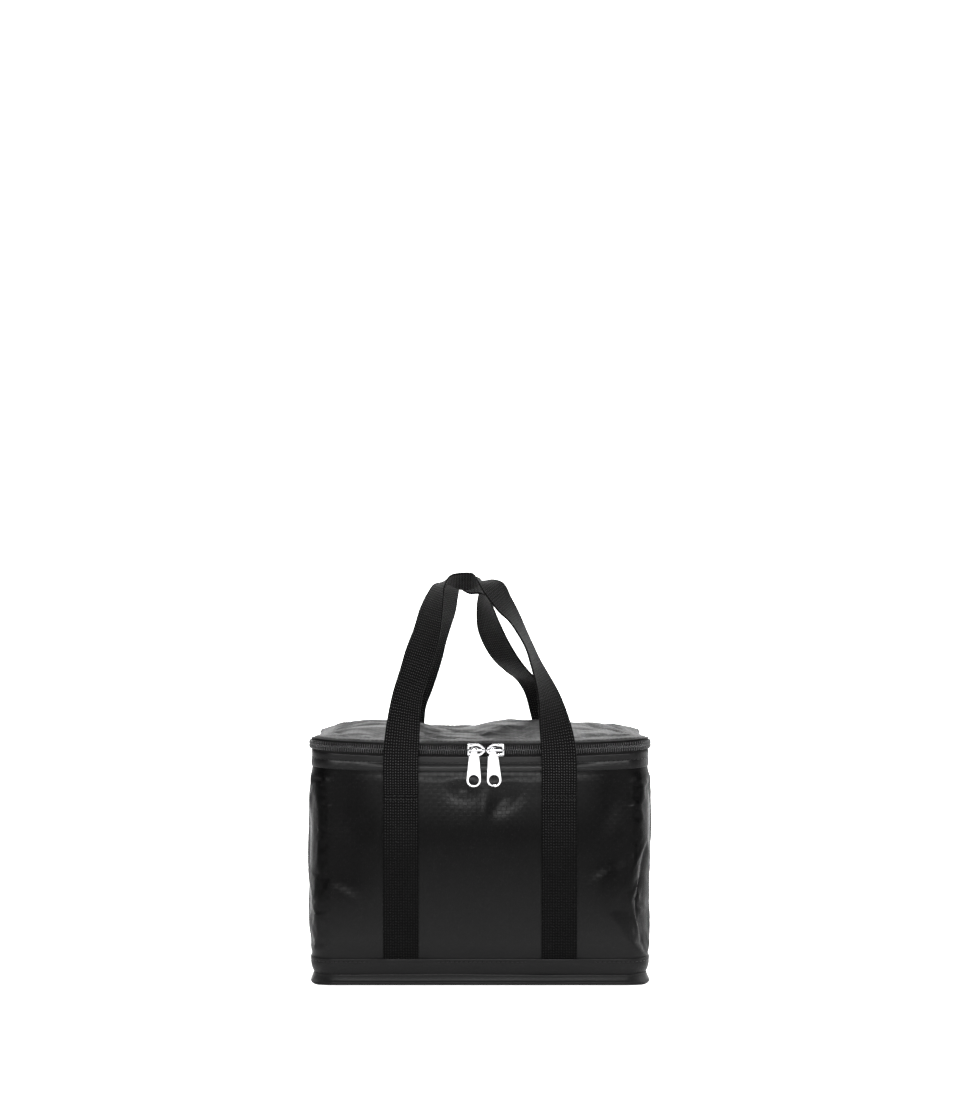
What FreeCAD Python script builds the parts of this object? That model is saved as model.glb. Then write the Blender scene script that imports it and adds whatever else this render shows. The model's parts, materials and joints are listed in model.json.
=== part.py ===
import FreeCAD, Part
import math
import os

V = FreeCAD.Vector

# ---------------------------------------------------------------- driving dimensions (mm)
# +Z is up, the front faces -Y, the origin is on the floor under the middle of the bag.
BODY_W = 242.0          # outside width of the body panels
BODY_D = 150.0          # outside depth of the body panels
CORNER_R = 16.0         # outside radius of the four upright corners

SKIN_T = 1.0            # laminated woven outer cloth
FOAM_T = 6.0            # closed-cell insulation
SHELL_T = SKIN_T + FOAM_T
LINER_T = 0.6           # foil lining
TAPE_T = 0.8            # zipper tape
WEB_W = 25.2            # handle webbing, 1 inch
WEB_T = 1.6
LIP_OUT = 1.2           # how far each band stands off the body panels
BAND_OUT = 0.9
HEM_OUT = 1.1

LIP_BOTTOM = 0.6        # base seam lip, just clear of the floor
LIP_TOP = 7.0
BAND_TOP = 19.0         # bottom band, where the straps are caught
STRAP_TOP = 138.0       # last stitch row of the straps, where each handle comes free
HEM_BOTTOM = 153.0      # hem band under the zipper
HEM_TOP = 163.4
WALL_TOP = 158.0        # insulated wall under the rim binding
RIM_TOP = 160.2         # top of the rim binding, where the zipper tape starts
ZIP_Z = 169.0           # middle of the zipper
LID_UNDER = 170.5       # underside of the lid's lining
LID_EDGE = 177.1        # top of the lid at its edge
LID_SEAM = 176.1        # where the lid's top is sewn to the tape, binding and hinge
LID_CROWN = 180.0       # top of the padded middle
LID_INSET = 3.5         # from the lid's edge to its foam and lining

COIL_GAP = 1.4          # between the two halves of the coil, where the slider's post runs
COIL_H = 2.4            # height of one half of the coil
COIL_T = 1.9            # how far the coil stands off its tape
ZIP_END_Y = 58.0        # the zipper runs round the front and sides and stops here
HINGE_Z = 171.4         # the lid folds back about the rear strip at this height
HINGE_T = 1.1
HINGE_GAP = 0.5         # bare fold each side of the hinge line

STRAP_X = 56.5          # centre of each strap from the middle of the bag
SLIDER_L = 12.8         # number 5 slider
SLIDER_H = 9.0
SLIDER_MEET_X = 4.15    # the two sliders meet nose to nose here
BRIDGE_Y = -80.4        # bar that carries the pull
PULL_L = 27.0
PULL_TILT = 6.8         # degrees; the pull leans in on the hem


# ---------------------------------------------------------------- layers that follow the body
def outline(inset, z):
    """Closed rounded rectangle, offset inwards from the body's outside by inset."""
    r = CORNER_R - inset
    a, b = BODY_W / 2 - CORNER_R, BODY_D / 2 - CORNER_R
    edges = []
    for k, (cx, cy) in enumerate([(a, b), (-a, b), (-a, -b), (a, -b)]):
        t = [math.radians(90 * k + d) for d in (0, 45, 90)]
        p = [V(cx + r * math.cos(u), cy + r * math.sin(u), z) for u in t]
        edges.append((p, Part.Arc(*p).toShape()))
    wire = []
    for k, (p, arc) in enumerate(edges):
        wire += [arc, Part.makeLine(p[2], edges[(k + 1) % 4][0][0])]
    return Part.Wire(wire)


def slab(inset, z0, z1):
    return Part.Face(outline(inset, z0)).extrude(V(0, 0, z1 - z0))


def ring(inset, thick, z0, z1):
    return slab(inset, z0, z1).cut(slab(inset + thick, z0 - 1, z1 + 1))


def prism(points, z0, z1):
    loop = [V(x, y, z0) for x, y in points]
    return Part.Face(Part.makePolygon(loop + loop[:1])).extrude(V(0, 0, z1 - z0))


def box(x0, x1, y0, y1, z0, z1):
    return Part.makeBox(x1 - x0, y1 - y0, z1 - z0, V(x0, y0, z0))


def side_of(shape, name):
    """The part of a ring that belongs to one panel, cut at the middle of each corner."""
    a, b, k = BODY_W / 2 - CORNER_R, BODY_D / 2 - CORNER_R, 40.0
    near = {
        "front": [(-a - k, -b - k), (a + k, -b - k), (a, -b), (-a, -b)],
        "back": [(-a - k, b + k), (-a, b), (a, b), (a + k, b + k)],
        "left": [(-a - k, -b - k), (-a, -b), (-a, b), (-a - k, b + k)],
        "right": [(a + k, -b - k), (a + k, b + k), (a, b), (a, -b)],
    }[name]
    return shape.common(prism(near, -5, 200))


def ahead_of(shape, y):
    return shape.common(box(-200, 200, -200, y, -5, 200))


def behind(shape, y):
    return shape.common(box(-200, 200, y, 200, -5, 200))


# ---------------------------------------------------------------- handles
# Each row is a cross-section of the webbing: its edge away from the middle of the bag, then its
# edge towards the middle. The legs rise, twist and lean in, and the grip lies across the top.
FRONT_ROUTE = [
    ((-69.1, -77.9, 138.4), (-43.9, -77.9, 138.4)),
    ((-69.1, -79.8, 142.5), (-43.9, -79.8, 142.5)),
    ((-69.1, -82.4, 150.0), (-43.9, -82.4, 150.0)),
    ((-68.9, -84.4, 161.0), (-43.8, -84.6, 161.0)),
    ((-68.0, -84.7, 172.5), (-43.6, -86.2, 171.5)),
    ((-66.6, -83.0, 183.5), (-43.3, -88.0, 180.5)),
    ((-64.3, -81.0, 196.4), (-43.1, -90.6, 193.3)),
    ((-61.0, -79.2, 211.2), (-41.9, -91.9, 206.0)),
    ((-57.1, -77.6, 224.9), (-38.0, -91.5, 219.0)),
    ((-53.0, -74.2, 239.6), (-32.9, -87.2, 233.8)),
    ((-47.2, -66.5, 255.0), (-29.0, -82.0, 250.0)),
    ((-43.0, -57.2, 269.0), (-27.1, -75.0, 264.4)),
    ((-37.8, -47.0, 280.0), (-26.2, -68.5, 276.0)),
    ((-32.8, -40.0, 286.3), (-25.2, -63.5, 285.6)),
    ((-24.5, -35.0, 286.8), (-22.0, -58.0, 292.0)),
    ((-14.0, -32.8, 282.4), (-13.9, -54.2, 294.4)),
    ((-5.0, -32.8, 283.2), (-5.0, -54.8, 293.9)),
    ((4.5, -35.6, 288.6), (-1.5, -59.0, 288.6)),
    ((13.6, -40.0, 286.4), (4.5, -63.2, 280.8)),
    ((22.8, -46.0, 276.4), (14.1, -68.0, 269.0)),
    ((28.4, -53.4, 265.0), (21.0, -76.6, 260.1)),
    ((32.9, -59.6, 254.3), (27.4, -83.7, 250.9)),
    ((37.5, -65.0, 244.0), (32.5, -89.2, 241.6)),
    ((43.1, -69.6, 232.2), (36.2, -93.2, 229.4)),
    ((48.8, -73.4, 222.4), (39.1, -95.4, 218.1)),
    ((55.4, -76.6, 210.5), (41.2, -95.4, 206.0)),
    ((61.0, -79.2, 196.9), (42.3, -93.2, 192.8)),
    ((64.9, -81.4, 184.0), (43.1, -90.0, 180.5)),
    ((67.4, -83.6, 173.0), (43.6, -87.4, 171.5)),
    ((68.7, -84.2, 161.0), (43.8, -84.8, 161.0)),
    ((69.1, -82.4, 150.0), (43.9, -82.4, 150.0)),
    ((69.1, -79.8, 142.5), (43.9, -79.8, 142.5)),
    ((69.1, -77.9, 138.4), (43.9, -77.9, 138.4)),
]
REAR_ROUTE = [
    ((-69.1, 77.9, 138.4), (-43.9, 77.9, 138.4)),
    ((-69.1, 79.8, 142.5), (-43.9, 79.8, 142.5)),
    ((-69.1, 82.4, 150.0), (-43.9, 82.4, 150.0)),
    ((-69.0, 85.4, 161.0), (-43.9, 86.4, 161.0)),
    ((-68.2, 86.0, 172.5), (-43.8, 92.0, 171.5)),
    ((-65.5, 85.1, 190.0), (-42.4, 95.7, 187.0)),
    ((-60.5, 80.0, 204.0), (-37.6, 91.0, 200.0)),
    ((-55.0, 73.5, 217.0), (-33.3, 86.0, 213.0)),
    ((-50.0, 64.5, 230.0), (-29.3, 79.0, 226.0)),
    ((-44.5, 53.0, 244.0), (-26.0, 70.0, 240.0)),
    ((-38.5, 38.0, 257.0), (-22.0, 57.0, 253.0)),
    ((-32.5, 21.0, 268.0), (-18.6, 41.5, 265.0)),
    ((-27.0, 7.5, 276.0), (-16.4, 30.0, 275.0)),
    ((-21.5, -6.0, 281.0), (-14.6, 17.5, 285.0)),
    ((-15.0, -16.0, 280.4), (-12.0, 6.5, 290.0)),
    ((-8.0, -20.0, 279.2), (-7.5, 1.6, 291.2)),
    ((0.0, -20.0, 279.0), (-1.0, 2.4, 290.4)),
    ((5.6, -14.5, 276.6), (1.0, 8.6, 285.0)),
    ((9.0, -3.0, 270.0), (-1.4, 19.0, 275.6)),
    ((13.2, 14.0, 260.0), (-2.6, 33.2, 262.6)),
    ((18.5, 31.0, 248.5), (-1.6, 46.2, 250.0)),
    ((25.0, 44.0, 236.0), (3.4, 57.0, 237.0)),
    ((33.0, 54.0, 223.5), (10.5, 65.0, 226.0)),
    ((42.0, 63.5, 213.0), (19.8, 74.4, 217.0)),
    ((51.5, 72.5, 204.6), (28.5, 81.6, 209.6)),
    ((58.6, 78.6, 195.6), (34.6, 86.2, 199.6)),
    ((63.0, 82.4, 185.0), (38.4, 88.6, 186.6)),
    ((66.6, 84.6, 174.0), (41.8, 87.6, 173.0)),
    ((68.7, 85.0, 161.0), (43.7, 85.6, 161.0)),
    ((69.1, 82.4, 150.0), (43.9, 82.4, 150.0)),
    ((69.1, 79.8, 142.5), (43.9, 79.8, 142.5)),
    ((69.1, 77.9, 138.4), (43.9, 77.9, 138.4)),
]


def webbing(route):
    """Flat webbing skinned through a list of cross-sections."""
    pairs = [(V(*a), V(*b)) for a, b in route]
    centres = [(a + b) * 0.5 for a, b in pairs]
    wires = []
    for k, (a, b) in enumerate(pairs):
        along = centres[min(k + 1, len(pairs) - 1)] - centres[max(k - 1, 0)]
        across = (b - a).normalize()
        out = across.cross(along).normalize()
        w, t = across * (WEB_W / 2), out * (WEB_T / 2)
        c = centres[k]
        wires.append(Part.makePolygon([c - w - t, c + w - t, c + w + t, c - w + t, c - w - t]))
    faces = [Part.Face(wires[0]), Part.Face(wires[-1])]
    for low_wire, high_wire in zip(wires, wires[1:]):
        for e0, e1 in zip(low_wire.Edges, high_wire.Edges):
            faces.append(Part.makeRuledSurface(e0, e1))
    solid = Part.makeSolid(Part.makeShell(faces))
    if solid.Volume < 0:
        solid.reverse()
    return solid


def strap(x, side):
    """Webbing sewn flat on a body panel; side is -1 at the front and +1 at the back."""
    y = sorted([side * BODY_D / 2, side * (BODY_D / 2 + WEB_T)])
    return box(x - WEB_W / 2, x + WEB_W / 2, y[0], y[1], BAND_TOP + 0.2, STRAP_TOP)


def stitch_rows(side):
    """Two short raised rows of thread across the top of each strap."""
    rows = []
    for x in (-STRAP_X, STRAP_X):
        for z in (132.4, 136.0):
            y = sorted([side * (BODY_D / 2 + WEB_T), side * (BODY_D / 2 + WEB_T + 0.3)])
            rows.append(box(x - 11.6, x + 11.6, y[0], y[1], z, z + 0.9))
    return rows


# ---------------------------------------------------------------- zipper sliders and pulls
def slider(nose_x, way):
    """Open-topped slider; way is +1 when its nose points to +X. The post runs in the coil gap."""
    def bx(u0, u1, y0, y1, z0, z1):
        x = sorted([nose_x - way * u0, nose_x - way * u1])
        return box(x[0], x[1], y0, y1, ZIP_Z + z0, ZIP_Z + z1)

    def plate(y0, y1, half):
        nose = Part.makeCylinder(half, y1 - y0, V(nose_x - way * half, y0, ZIP_Z), V(0, 1, 0))
        return nose.fuse(bx(half, SLIDER_L, y0, y1, -half, half))

    h = SLIDER_H / 2
    face = -(BODY_D / 2 + 0.1 + COIL_T + 0.3)
    body = plate(face - 1.1, face, h)
    body = body.fuse(plate(-(BODY_D / 2 - TAPE_T - 0.3), -(BODY_D / 2 - TAPE_T - 1.3), h - 0.4))
    body = body.fuse(bx(2.6, 4.4, face - 0.5, -72.9, -0.4, 0.4))
    body = body.fuse(bx(4.5, SLIDER_L, face - 0.1, -75.35, -h, -h + 0.8))
    bar_x = min(nose_x - way * 0.8, nose_x - way * (SLIDER_L - 0.8))
    body = body.fuse(Part.makeCylinder(0.7, SLIDER_L - 1.6, V(bar_x, BRIDGE_Y, ZIP_Z), V(1, 0, 0)))
    for u in (0.8, SLIDER_L - 2.2):
        body = body.fuse(bx(u, u + 1.4, BRIDGE_Y, face - 0.5, -0.7, 0.7))
    return body.removeSplitter()


def pull(x):
    """Flat pull with a rolled eye round the slider's bar and a round hole at its free end."""
    end_r, hole_r, top, top_half, eye_half = 5.2, 3.75, -5.2, 3.7, 2.3
    eye = Part.makeCylinder(1.5, 2 * eye_half, V(x - eye_half, 0, 0), V(1, 0, 0))
    eye = eye.cut(Part.makeCylinder(1.0, 2 * eye_half + 2, V(x - eye_half - 1, 0, 0), V(1, 0, 0)))
    hole_z = -PULL_L + end_r
    lean = math.asin((end_r - top_half) / (top - hole_z))
    c, s = end_r * math.cos(lean), end_r * math.sin(lean)
    pts = [V(x - top_half, -0.6, top), V(x - c, -0.6, hole_z + s),
           V(x, -0.6, hole_z - end_r), V(x + c, -0.6, hole_z + s), V(x + top_half, -0.6, top)]
    wire = Part.Wire([Part.makeLine(pts[0], pts[1]), Part.Arc(pts[1], pts[2], pts[3]).toShape(),
                      Part.makeLine(pts[3], pts[4]), Part.makeLine(pts[4], pts[0])])
    blade = Part.Face(wire).extrude(V(0, 1.2, 0))
    neck = box(x - eye_half, x + eye_half, -0.6, 0.6, top - 0.5, -1.2)
    hole = Part.makeCylinder(hole_r, 4, V(x, -2, hole_z), V(0, 1, 0))
    shape = blade.fuse(neck).fuse(eye).cut(hole).removeSplitter()
    shape.rotate(V(0, 0, 0), V(1, 0, 0), PULL_TILT)
    shape.translate(V(0, BRIDGE_Y, ZIP_Z))
    return shape


# ---------------------------------------------------------------- lid
def lid_panel():
    """Thin shell over the lid, low at its edge and padded up in the middle."""
    outer = Part.makeLoft([outline(0, LID_SEAM), outline(0.2, LID_EDGE), outline(6, LID_EDGE + 1.7),
                           outline(15.9, LID_CROWN)], True, True)
    inner = Part.makeLoft([outline(1, LID_SEAM - 0.5), outline(1.2, LID_EDGE - 0.9),
                           outline(6, LID_EDGE + 0.6), outline(15.9, LID_CROWN - 1)], True, True)
    return outer.cut(inner)


# ---------------------------------------------------------------- all pieces
parts = {}

# body: base, walls, insulation and lining
parts["base_panel"] = slab(0, 0, SKIN_T)
parts["base_lip"] = ring(-LIP_OUT, LIP_OUT, LIP_BOTTOM, LIP_TOP)
parts["base_band"] = ring(-BAND_OUT, BAND_OUT, LIP_TOP + 0.2, BAND_TOP)
skin = ring(0, SKIN_T, SKIN_T, WALL_TOP + 2)
foam = ring(SKIN_T, FOAM_T, SHELL_T, WALL_TOP)
for name in ("front", "back", "left", "right"):
    parts[name + "_panel"] = side_of(skin, name)
    parts["foam_" + name] = side_of(foam, name)
parts["foam_base"] = slab(SKIN_T, SKIN_T, SHELL_T)
parts["liner_tub"] = ring(SHELL_T, LINER_T, SHELL_T, WALL_TOP).fuse(
    slab(SHELL_T, SHELL_T, SHELL_T + LINER_T))
parts["rim_binding"] = ring(0.9, SHELL_T, WALL_TOP, RIM_TOP).cut(
    ring(0, SKIN_T, WALL_TOP - 1, WALL_TOP + 2))
parts["hem_band"] = ring(-HEM_OUT, HEM_OUT, HEM_BOTTOM, HEM_TOP)

# zipper on the body and on the lid
low, high = ZIP_Z - COIL_GAP / 2, ZIP_Z + COIL_GAP / 2
coil_in = -0.1 - COIL_T
parts["zipper_tape_lower"] = ahead_of(ring(0, TAPE_T, RIM_TOP, low - 0.6), ZIP_END_Y)
parts["zipper_coil_lower"] = ahead_of(ring(coil_in, COIL_T, low - COIL_H, low), ZIP_END_Y)
parts["zipper_tape_upper"] = ahead_of(ring(0, TAPE_T, high + 0.2, LID_SEAM), ZIP_END_Y)
parts["zipper_coil_upper"] = ahead_of(ring(coil_in, COIL_T, high, high + COIL_H), ZIP_END_Y)
for name, s in (("left", -1), ("right", 1)):
    x = sorted([s * (BODY_W / 2 + 1.5), s * (BODY_W / 2 + 2.6)])
    root = sorted([s * BODY_W / 2, s * (BODY_W / 2 + 2.6)])
    tab = box(x[0], x[1], ZIP_END_Y + 0.6, ZIP_END_Y + 9, HEM_TOP + 0.2, ZIP_Z + 3)
    parts["zipper_end_" + name] = tab.fuse(
        box(root[0], root[1], ZIP_END_Y + 0.6, ZIP_END_Y + 9, HEM_TOP + 0.2, HEM_TOP + 2.2))

# rear fabric hinge, in two halves that meet at the fold
parts["hinge_strip"] = behind(ring(0, HINGE_T, RIM_TOP, HINGE_Z - HINGE_GAP), ZIP_END_Y + 0.4)
parts["hinge_flap"] = behind(ring(0, HINGE_T, HINGE_Z + HINGE_GAP, LID_SEAM), ZIP_END_Y + 0.4)

# lid
parts["lid_panel"] = lid_panel()
parts["foam_lid"] = slab(LID_INSET, LID_UNDER + LINER_T, LID_SEAM)
parts["liner_lid"] = slab(LID_INSET, LID_UNDER, LID_UNDER + LINER_T)
parts["lid_binding"] = ring(HINGE_T, LID_INSET - HINGE_T, LID_SEAM - 1.8, LID_SEAM)

# straps, handles and their stitching
for name, x in (("left", -STRAP_X), ("right", STRAP_X)):
    parts["front_strap_" + name] = strap(x, -1)
    parts["rear_strap_" + name] = strap(x, 1)
parts["front_stitches"] = Part.makeCompound(stitch_rows(-1))
parts["rear_stitches"] = Part.makeCompound(stitch_rows(1))
parts["front_handle"] = webbing(FRONT_ROUTE)
parts["rear_handle"] = webbing(REAR_ROUTE)

# sliders and pulls
parts["slider_left"] = slider(SLIDER_MEET_X - 0.25, 1)
parts["slider_right"] = slider(SLIDER_MEET_X + 0.25, -1)
parts["pull_left"] = pull(SLIDER_MEET_X - 0.25 - SLIDER_L + 4.7)
parts["pull_right"] = pull(SLIDER_MEET_X + 0.25 + 4.7)

os.makedirs("parts", exist_ok=True)
for name, shape in parts.items():
    shape.exportStep("parts/" + name + ".step")
    bb = shape.BoundBox
    print("%-20s solids %2d valid %s vol %10.1f  x %.2f %.2f  y %.2f %.2f  z %.2f %.2f" % (
        name, len(shape.Solids), shape.isValid(), shape.Volume,
        bb.XMin, bb.XMax, bb.YMin, bb.YMax, bb.ZMin, bb.ZMax))
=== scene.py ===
import json
import math

import bpy
import numpy as np
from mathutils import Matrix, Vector


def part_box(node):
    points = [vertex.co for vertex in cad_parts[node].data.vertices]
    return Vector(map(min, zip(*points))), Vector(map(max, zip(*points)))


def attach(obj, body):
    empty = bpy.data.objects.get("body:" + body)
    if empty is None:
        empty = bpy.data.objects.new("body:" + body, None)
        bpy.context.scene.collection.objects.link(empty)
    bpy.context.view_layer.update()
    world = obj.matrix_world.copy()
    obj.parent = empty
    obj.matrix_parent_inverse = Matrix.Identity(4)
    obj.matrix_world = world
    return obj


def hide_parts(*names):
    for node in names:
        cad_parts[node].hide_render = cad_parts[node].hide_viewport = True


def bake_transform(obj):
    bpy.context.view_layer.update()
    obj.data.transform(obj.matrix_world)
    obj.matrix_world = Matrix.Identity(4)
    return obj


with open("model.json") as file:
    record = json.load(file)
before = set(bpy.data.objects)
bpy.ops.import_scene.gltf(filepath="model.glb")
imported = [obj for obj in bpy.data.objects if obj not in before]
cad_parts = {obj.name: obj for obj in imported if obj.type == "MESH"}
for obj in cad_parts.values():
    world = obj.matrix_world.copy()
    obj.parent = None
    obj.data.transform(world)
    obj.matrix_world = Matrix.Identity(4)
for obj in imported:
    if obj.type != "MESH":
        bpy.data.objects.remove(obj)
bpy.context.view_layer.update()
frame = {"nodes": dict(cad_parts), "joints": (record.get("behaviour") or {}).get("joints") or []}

# ------------------------------------------------------------------ frame sizes, in millimetres
BOX = {n: [np.array(c) * 1000 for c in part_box(n)] for n in frame["nodes"]}
JOINT = {j["name"]: j for j in frame["joints"]}
HW, HD = BOX["lid_panel"][1][:2]  # half the bag's width and depth
CORNER = 16.0  # radius of the upright corners
QUARTER = math.pi * CORNER / 2  # length of cloth round one of them
FLAT_X, FLAT_Y = HW - CORNER, HD - CORNER
BAND_TOP = BOX["base_band"][1][2]
HEM_LO = BOX["hem_band"][0][2]
STRAP_TOP = BOX["front_strap_left"][1][2]
STRAP_IN, STRAP_OUT = (end[0] for end in BOX["front_strap_right"])
STRAP_X, WEB_W, WEB_T = (STRAP_IN + STRAP_OUT) / 2, STRAP_OUT - STRAP_IN, 1.5
ZIP_Z = (BOX["zipper_coil_lower"][0][2] + BOX["zipper_coil_upper"][1][2]) / 2
ZIP_END = BOX["zipper_coil_lower"][1][1]
WALL_TOP = BOX["rim_binding"][1][2]
LINER_IN = HW - BOX["liner_tub"][1][0]  # from the outline to the lining
FLOOR_IN = BOX["liner_tub"][0][2]
LID_UNDER = BOX["liner_lid"][0][2]
ROUND = (-390, 390)  # u all the way round the bag, with room to spare


# ------------------------------------------------------------------ mesh building
def new_mesh(name, verts, faces, uvs, mat):
    """Mesh from millimetre vertices; uvs is one (u, v) in millimetres per face corner."""
    me = bpy.data.meshes.new(name)
    me.from_pydata([tuple(v) for v in np.asarray(verts) * 0.001], [], faces)
    if uvs is not None:
        layer = me.uv_layers.new(name="flat")
        layer.data.foreach_set("uv", np.asarray(uvs, np.float32).ravel())
    me.polygons.foreach_set("use_smooth", [True] * len(me.polygons))
    me.update()
    ob = bpy.data.objects.new(name, me)
    bpy.context.scene.collection.objects.link(ob)
    me.materials.append(mat)
    return ob


def grid_faces(nu, nv, close_u=False, close_v=False):
    """Quads of an nu by nv grid, with the row and column that each one starts from."""
    iu = np.arange(nu if close_u else nu - 1)
    iv = np.arange(nv if close_v else nv - 1)
    a, b = (x.ravel() for x in np.meshgrid(iu, iv, indexing="ij"))
    a1, b1 = (a + 1) % nu, (b + 1) % nv
    return np.stack([a * nv + b, a1 * nv + b, a1 * nv + b1, a * nv + b1], 1), a, b


def shell_faces(n, k, closed=False):
    """Outward faces of n rings of k points each, with a cap at both ends unless the ends join."""
    faces = grid_faces(n, k, closed, True)[0][:, ::-1].tolist()
    if not closed:
        faces += [list(range(k))[::-1], list(range((n - 1) * k, n * k))]
    return faces


def outward(verts, faces):
    """The faces of a closed shell, turned to look outwards."""
    v = verts - verts.mean(0)
    size = sum(v[f[0]] @ np.cross(v[a], v[b]) for f in faces for a, b in zip(f[1:], f[2:]))
    return faces if size > 0 else [f[::-1] for f in faces]


def grid(name, pts, u, v, mat, close_u=False, close_v=False, flip=False):
    """Surface through pts[nu, nv, 3] with metric coordinates u[nu] and v[nv]; close_u goes round the bag."""
    nu, nv = pts.shape[:2]
    quads, a, b = grid_faces(nu, nv, close_u, close_v)
    cu = np.broadcast_to(np.asarray(u, float)[:, None], (nu, nv)).reshape(-1)[quads]
    cv = np.broadcast_to(np.asarray(v, float), (nu, nv)).reshape(-1)[quads]
    if close_u:
        cu[a == nu - 1, 1:3] += AROUND
    if close_v:
        last = b == nv - 1
        cv[last, 2:] = cv[last, 1::-1] + (v[-1] - v[-2])
    if flip:
        quads, cu, cv = quads[:, ::-1], cu[:, ::-1], cv[:, ::-1]
    return new_mesh(name, pts.reshape(-1, 3), quads.tolist(), np.stack([cu, cv], 2), mat)


def merged(name, base, frames, mat):
    """One mesh of many copies of base; frames is [n, 3, 4] (axes as columns, then place)."""
    verts = np.einsum("nij,kj->nki", frames[:, :, :3], base[0]) + frames[:, None, :, 3]
    k = len(base[0])
    faces = [[q + i * k for q in f] for i in range(len(frames)) for f in base[1]]
    return new_mesh(name, verts.reshape(-1, 3), faces, None, mat)


def unit(v):
    """The rows of v at length 1."""
    return v / np.linalg.norm(v, axis=1)[:, None]


def lengths(p):
    """Distance along a line at each of its points."""
    return np.r_[0, np.cumsum(np.linalg.norm(np.diff(p, axis=0), axis=1))]


def sampled(want, at, p):
    """Points of a line p known at the parameters at, read off at the parameters in want."""
    return np.stack([np.interp(want, at, p[:, k]) for k in range(p.shape[1])], 1)


# ------------------------------------------------------------------ hills and folds in cloth
def smoothstep(x, lo, hi):
    """0 below lo and 1 above hi."""
    t = np.clip((x - lo) / (hi - lo), 0, 1)
    return t * t * (3 - 2 * t)


def falling(x, lo, hi):
    """1 below lo and 0 above hi."""
    return smoothstep(-x, -hi, -lo)


def bell(u, v, u0, v0, ru, rv, turn=0.0):
    c, s = math.cos(math.radians(turn)), math.sin(math.radians(turn))
    a, b = (u - u0) * c + (v - v0) * s, -(u - u0) * s + (v - v0) * c
    return np.exp(-(a / ru) ** 2 - (b / rv) ** 2)


def crease(u, v, a, b, width, depth, sharp=0.3):
    """A fold line from a to b: raised where depth is above 0, with tapered ends."""
    a, b = np.array(a, float), np.array(b, float)
    length = np.linalg.norm(b - a)
    d = (b - a) / length
    t = (u - a[0]) * d[0] + (v - a[1]) * d[1]
    n = -(u - a[0]) * d[1] + (v - a[1]) * d[0]
    body = np.sin(np.pi * np.clip(t / length, 0, 1)) ** 0.7
    soft = sharp * width
    return depth * body * np.exp(-(np.sqrt(n * n + soft * soft) - soft) / width)


def hills(u, v, *rows):
    """Sum of bells; each row is a height and then the bell's own values."""
    return sum(height * bell(u, v, *row) for height, *row in rows)


def folds(u, v, *rows):
    """Sum of creases."""
    return sum(crease(u, v, *row) for row in rows)


def crumple(u, v, box, count, width, depth, seed, spans=(12, 45)):
    """Many small random fold lines in the rectangle box = (u0, u1, v0, v1)."""
    r = np.random.default_rng(seed)
    out = np.zeros(np.broadcast(u, v).shape)
    for _ in range(count):
        c = np.array([r.uniform(box[0], box[1]), r.uniform(box[2], box[3])])
        ang, half = r.uniform(0, np.pi), r.uniform(*spans) / 2
        d = np.array([math.cos(ang), math.sin(ang)]) * half
        w = width * r.uniform(0.6, 1.6)
        out += crease(u, v, c - d, c + d, w, depth * r.normal(), 0.35)
    return out


# ------------------------------------------------------------------ the bag's outline
def outline(step):
    """Points round the rounded rectangle from the middle of the back, anticlockwise from above.

    Gives the centre that each point's corner turns about, its outward direction, u along the
    cloth, which is 0 at the middle of the front, and the length all the way round."""
    stops = [(0, FLAT_Y), (-FLAT_X, FLAT_Y), (-FLAT_X, -FLAT_Y),
             (FLAT_X, -FLAT_Y), (FLAT_X, FLAT_Y), (0, FLAT_Y)]
    right = math.pi / 2
    centre, ang, u, at = [], [], [], 0.0
    for side, (a, b) in enumerate(zip(stops, stops[1:]), 1):
        length = math.hypot(b[0] - a[0], b[1] - a[1])
        pieces = [(a, b, 0.0, length, max(2, round(length / step)))]
        if side < len(stops) - 1:
            pieces.append((b, b, right, QUARTER, max(6, round(QUARTER / min(step, 1.6)))))
        for p, q, turn, length, n in pieces:
            k = np.arange(n)
            centre.append(np.array(p) + np.subtract(q, p) * k[:, None] / n)
            ang.append(side * right + turn * k / n)
            u.append(at + length * k / n)
            at += length
    ang = np.concatenate(ang)
    return np.concatenate(centre), np.array([np.cos(ang), np.sin(ang)]).T, np.concatenate(u) - at / 2, at


def sag(x, y):
    """How the zipper line dips at the middle of the front and rises to the corners."""
    front = smoothstep(-y, 44, HD - 8)
    rise = -0.4 + 3.0 * np.clip(np.abs(x) / 116, 0, 1.1) ** 3
    side = np.interp(y, [-75, -50, -20, 15, 40, 60, 76], [2.6, 2.2, 0.0, -2.0, -2.2, -1.0, 0.0])
    return side * (1 - front) * smoothstep(np.abs(x), FLAT_X - 30, HW - 2) + rise * front


def edge_sag(c, n):
    """sag on the outline itself, from an outline's centres and directions."""
    return sag(c[:, 0] + n[:, 0] * CORNER, c[:, 1] + n[:, 1] * CORNER)


def corner_share(u):
    """1 at the middle of each upright corner, 0 along the sides."""
    a = np.abs(u)
    mid = FLAT_X + QUARTER / 2
    far = mid + QUARTER + 2 * FLAT_Y
    return np.exp(-((a - mid) / 9) ** 2) + np.exp(-((a - far) / 9) ** 2)


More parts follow.
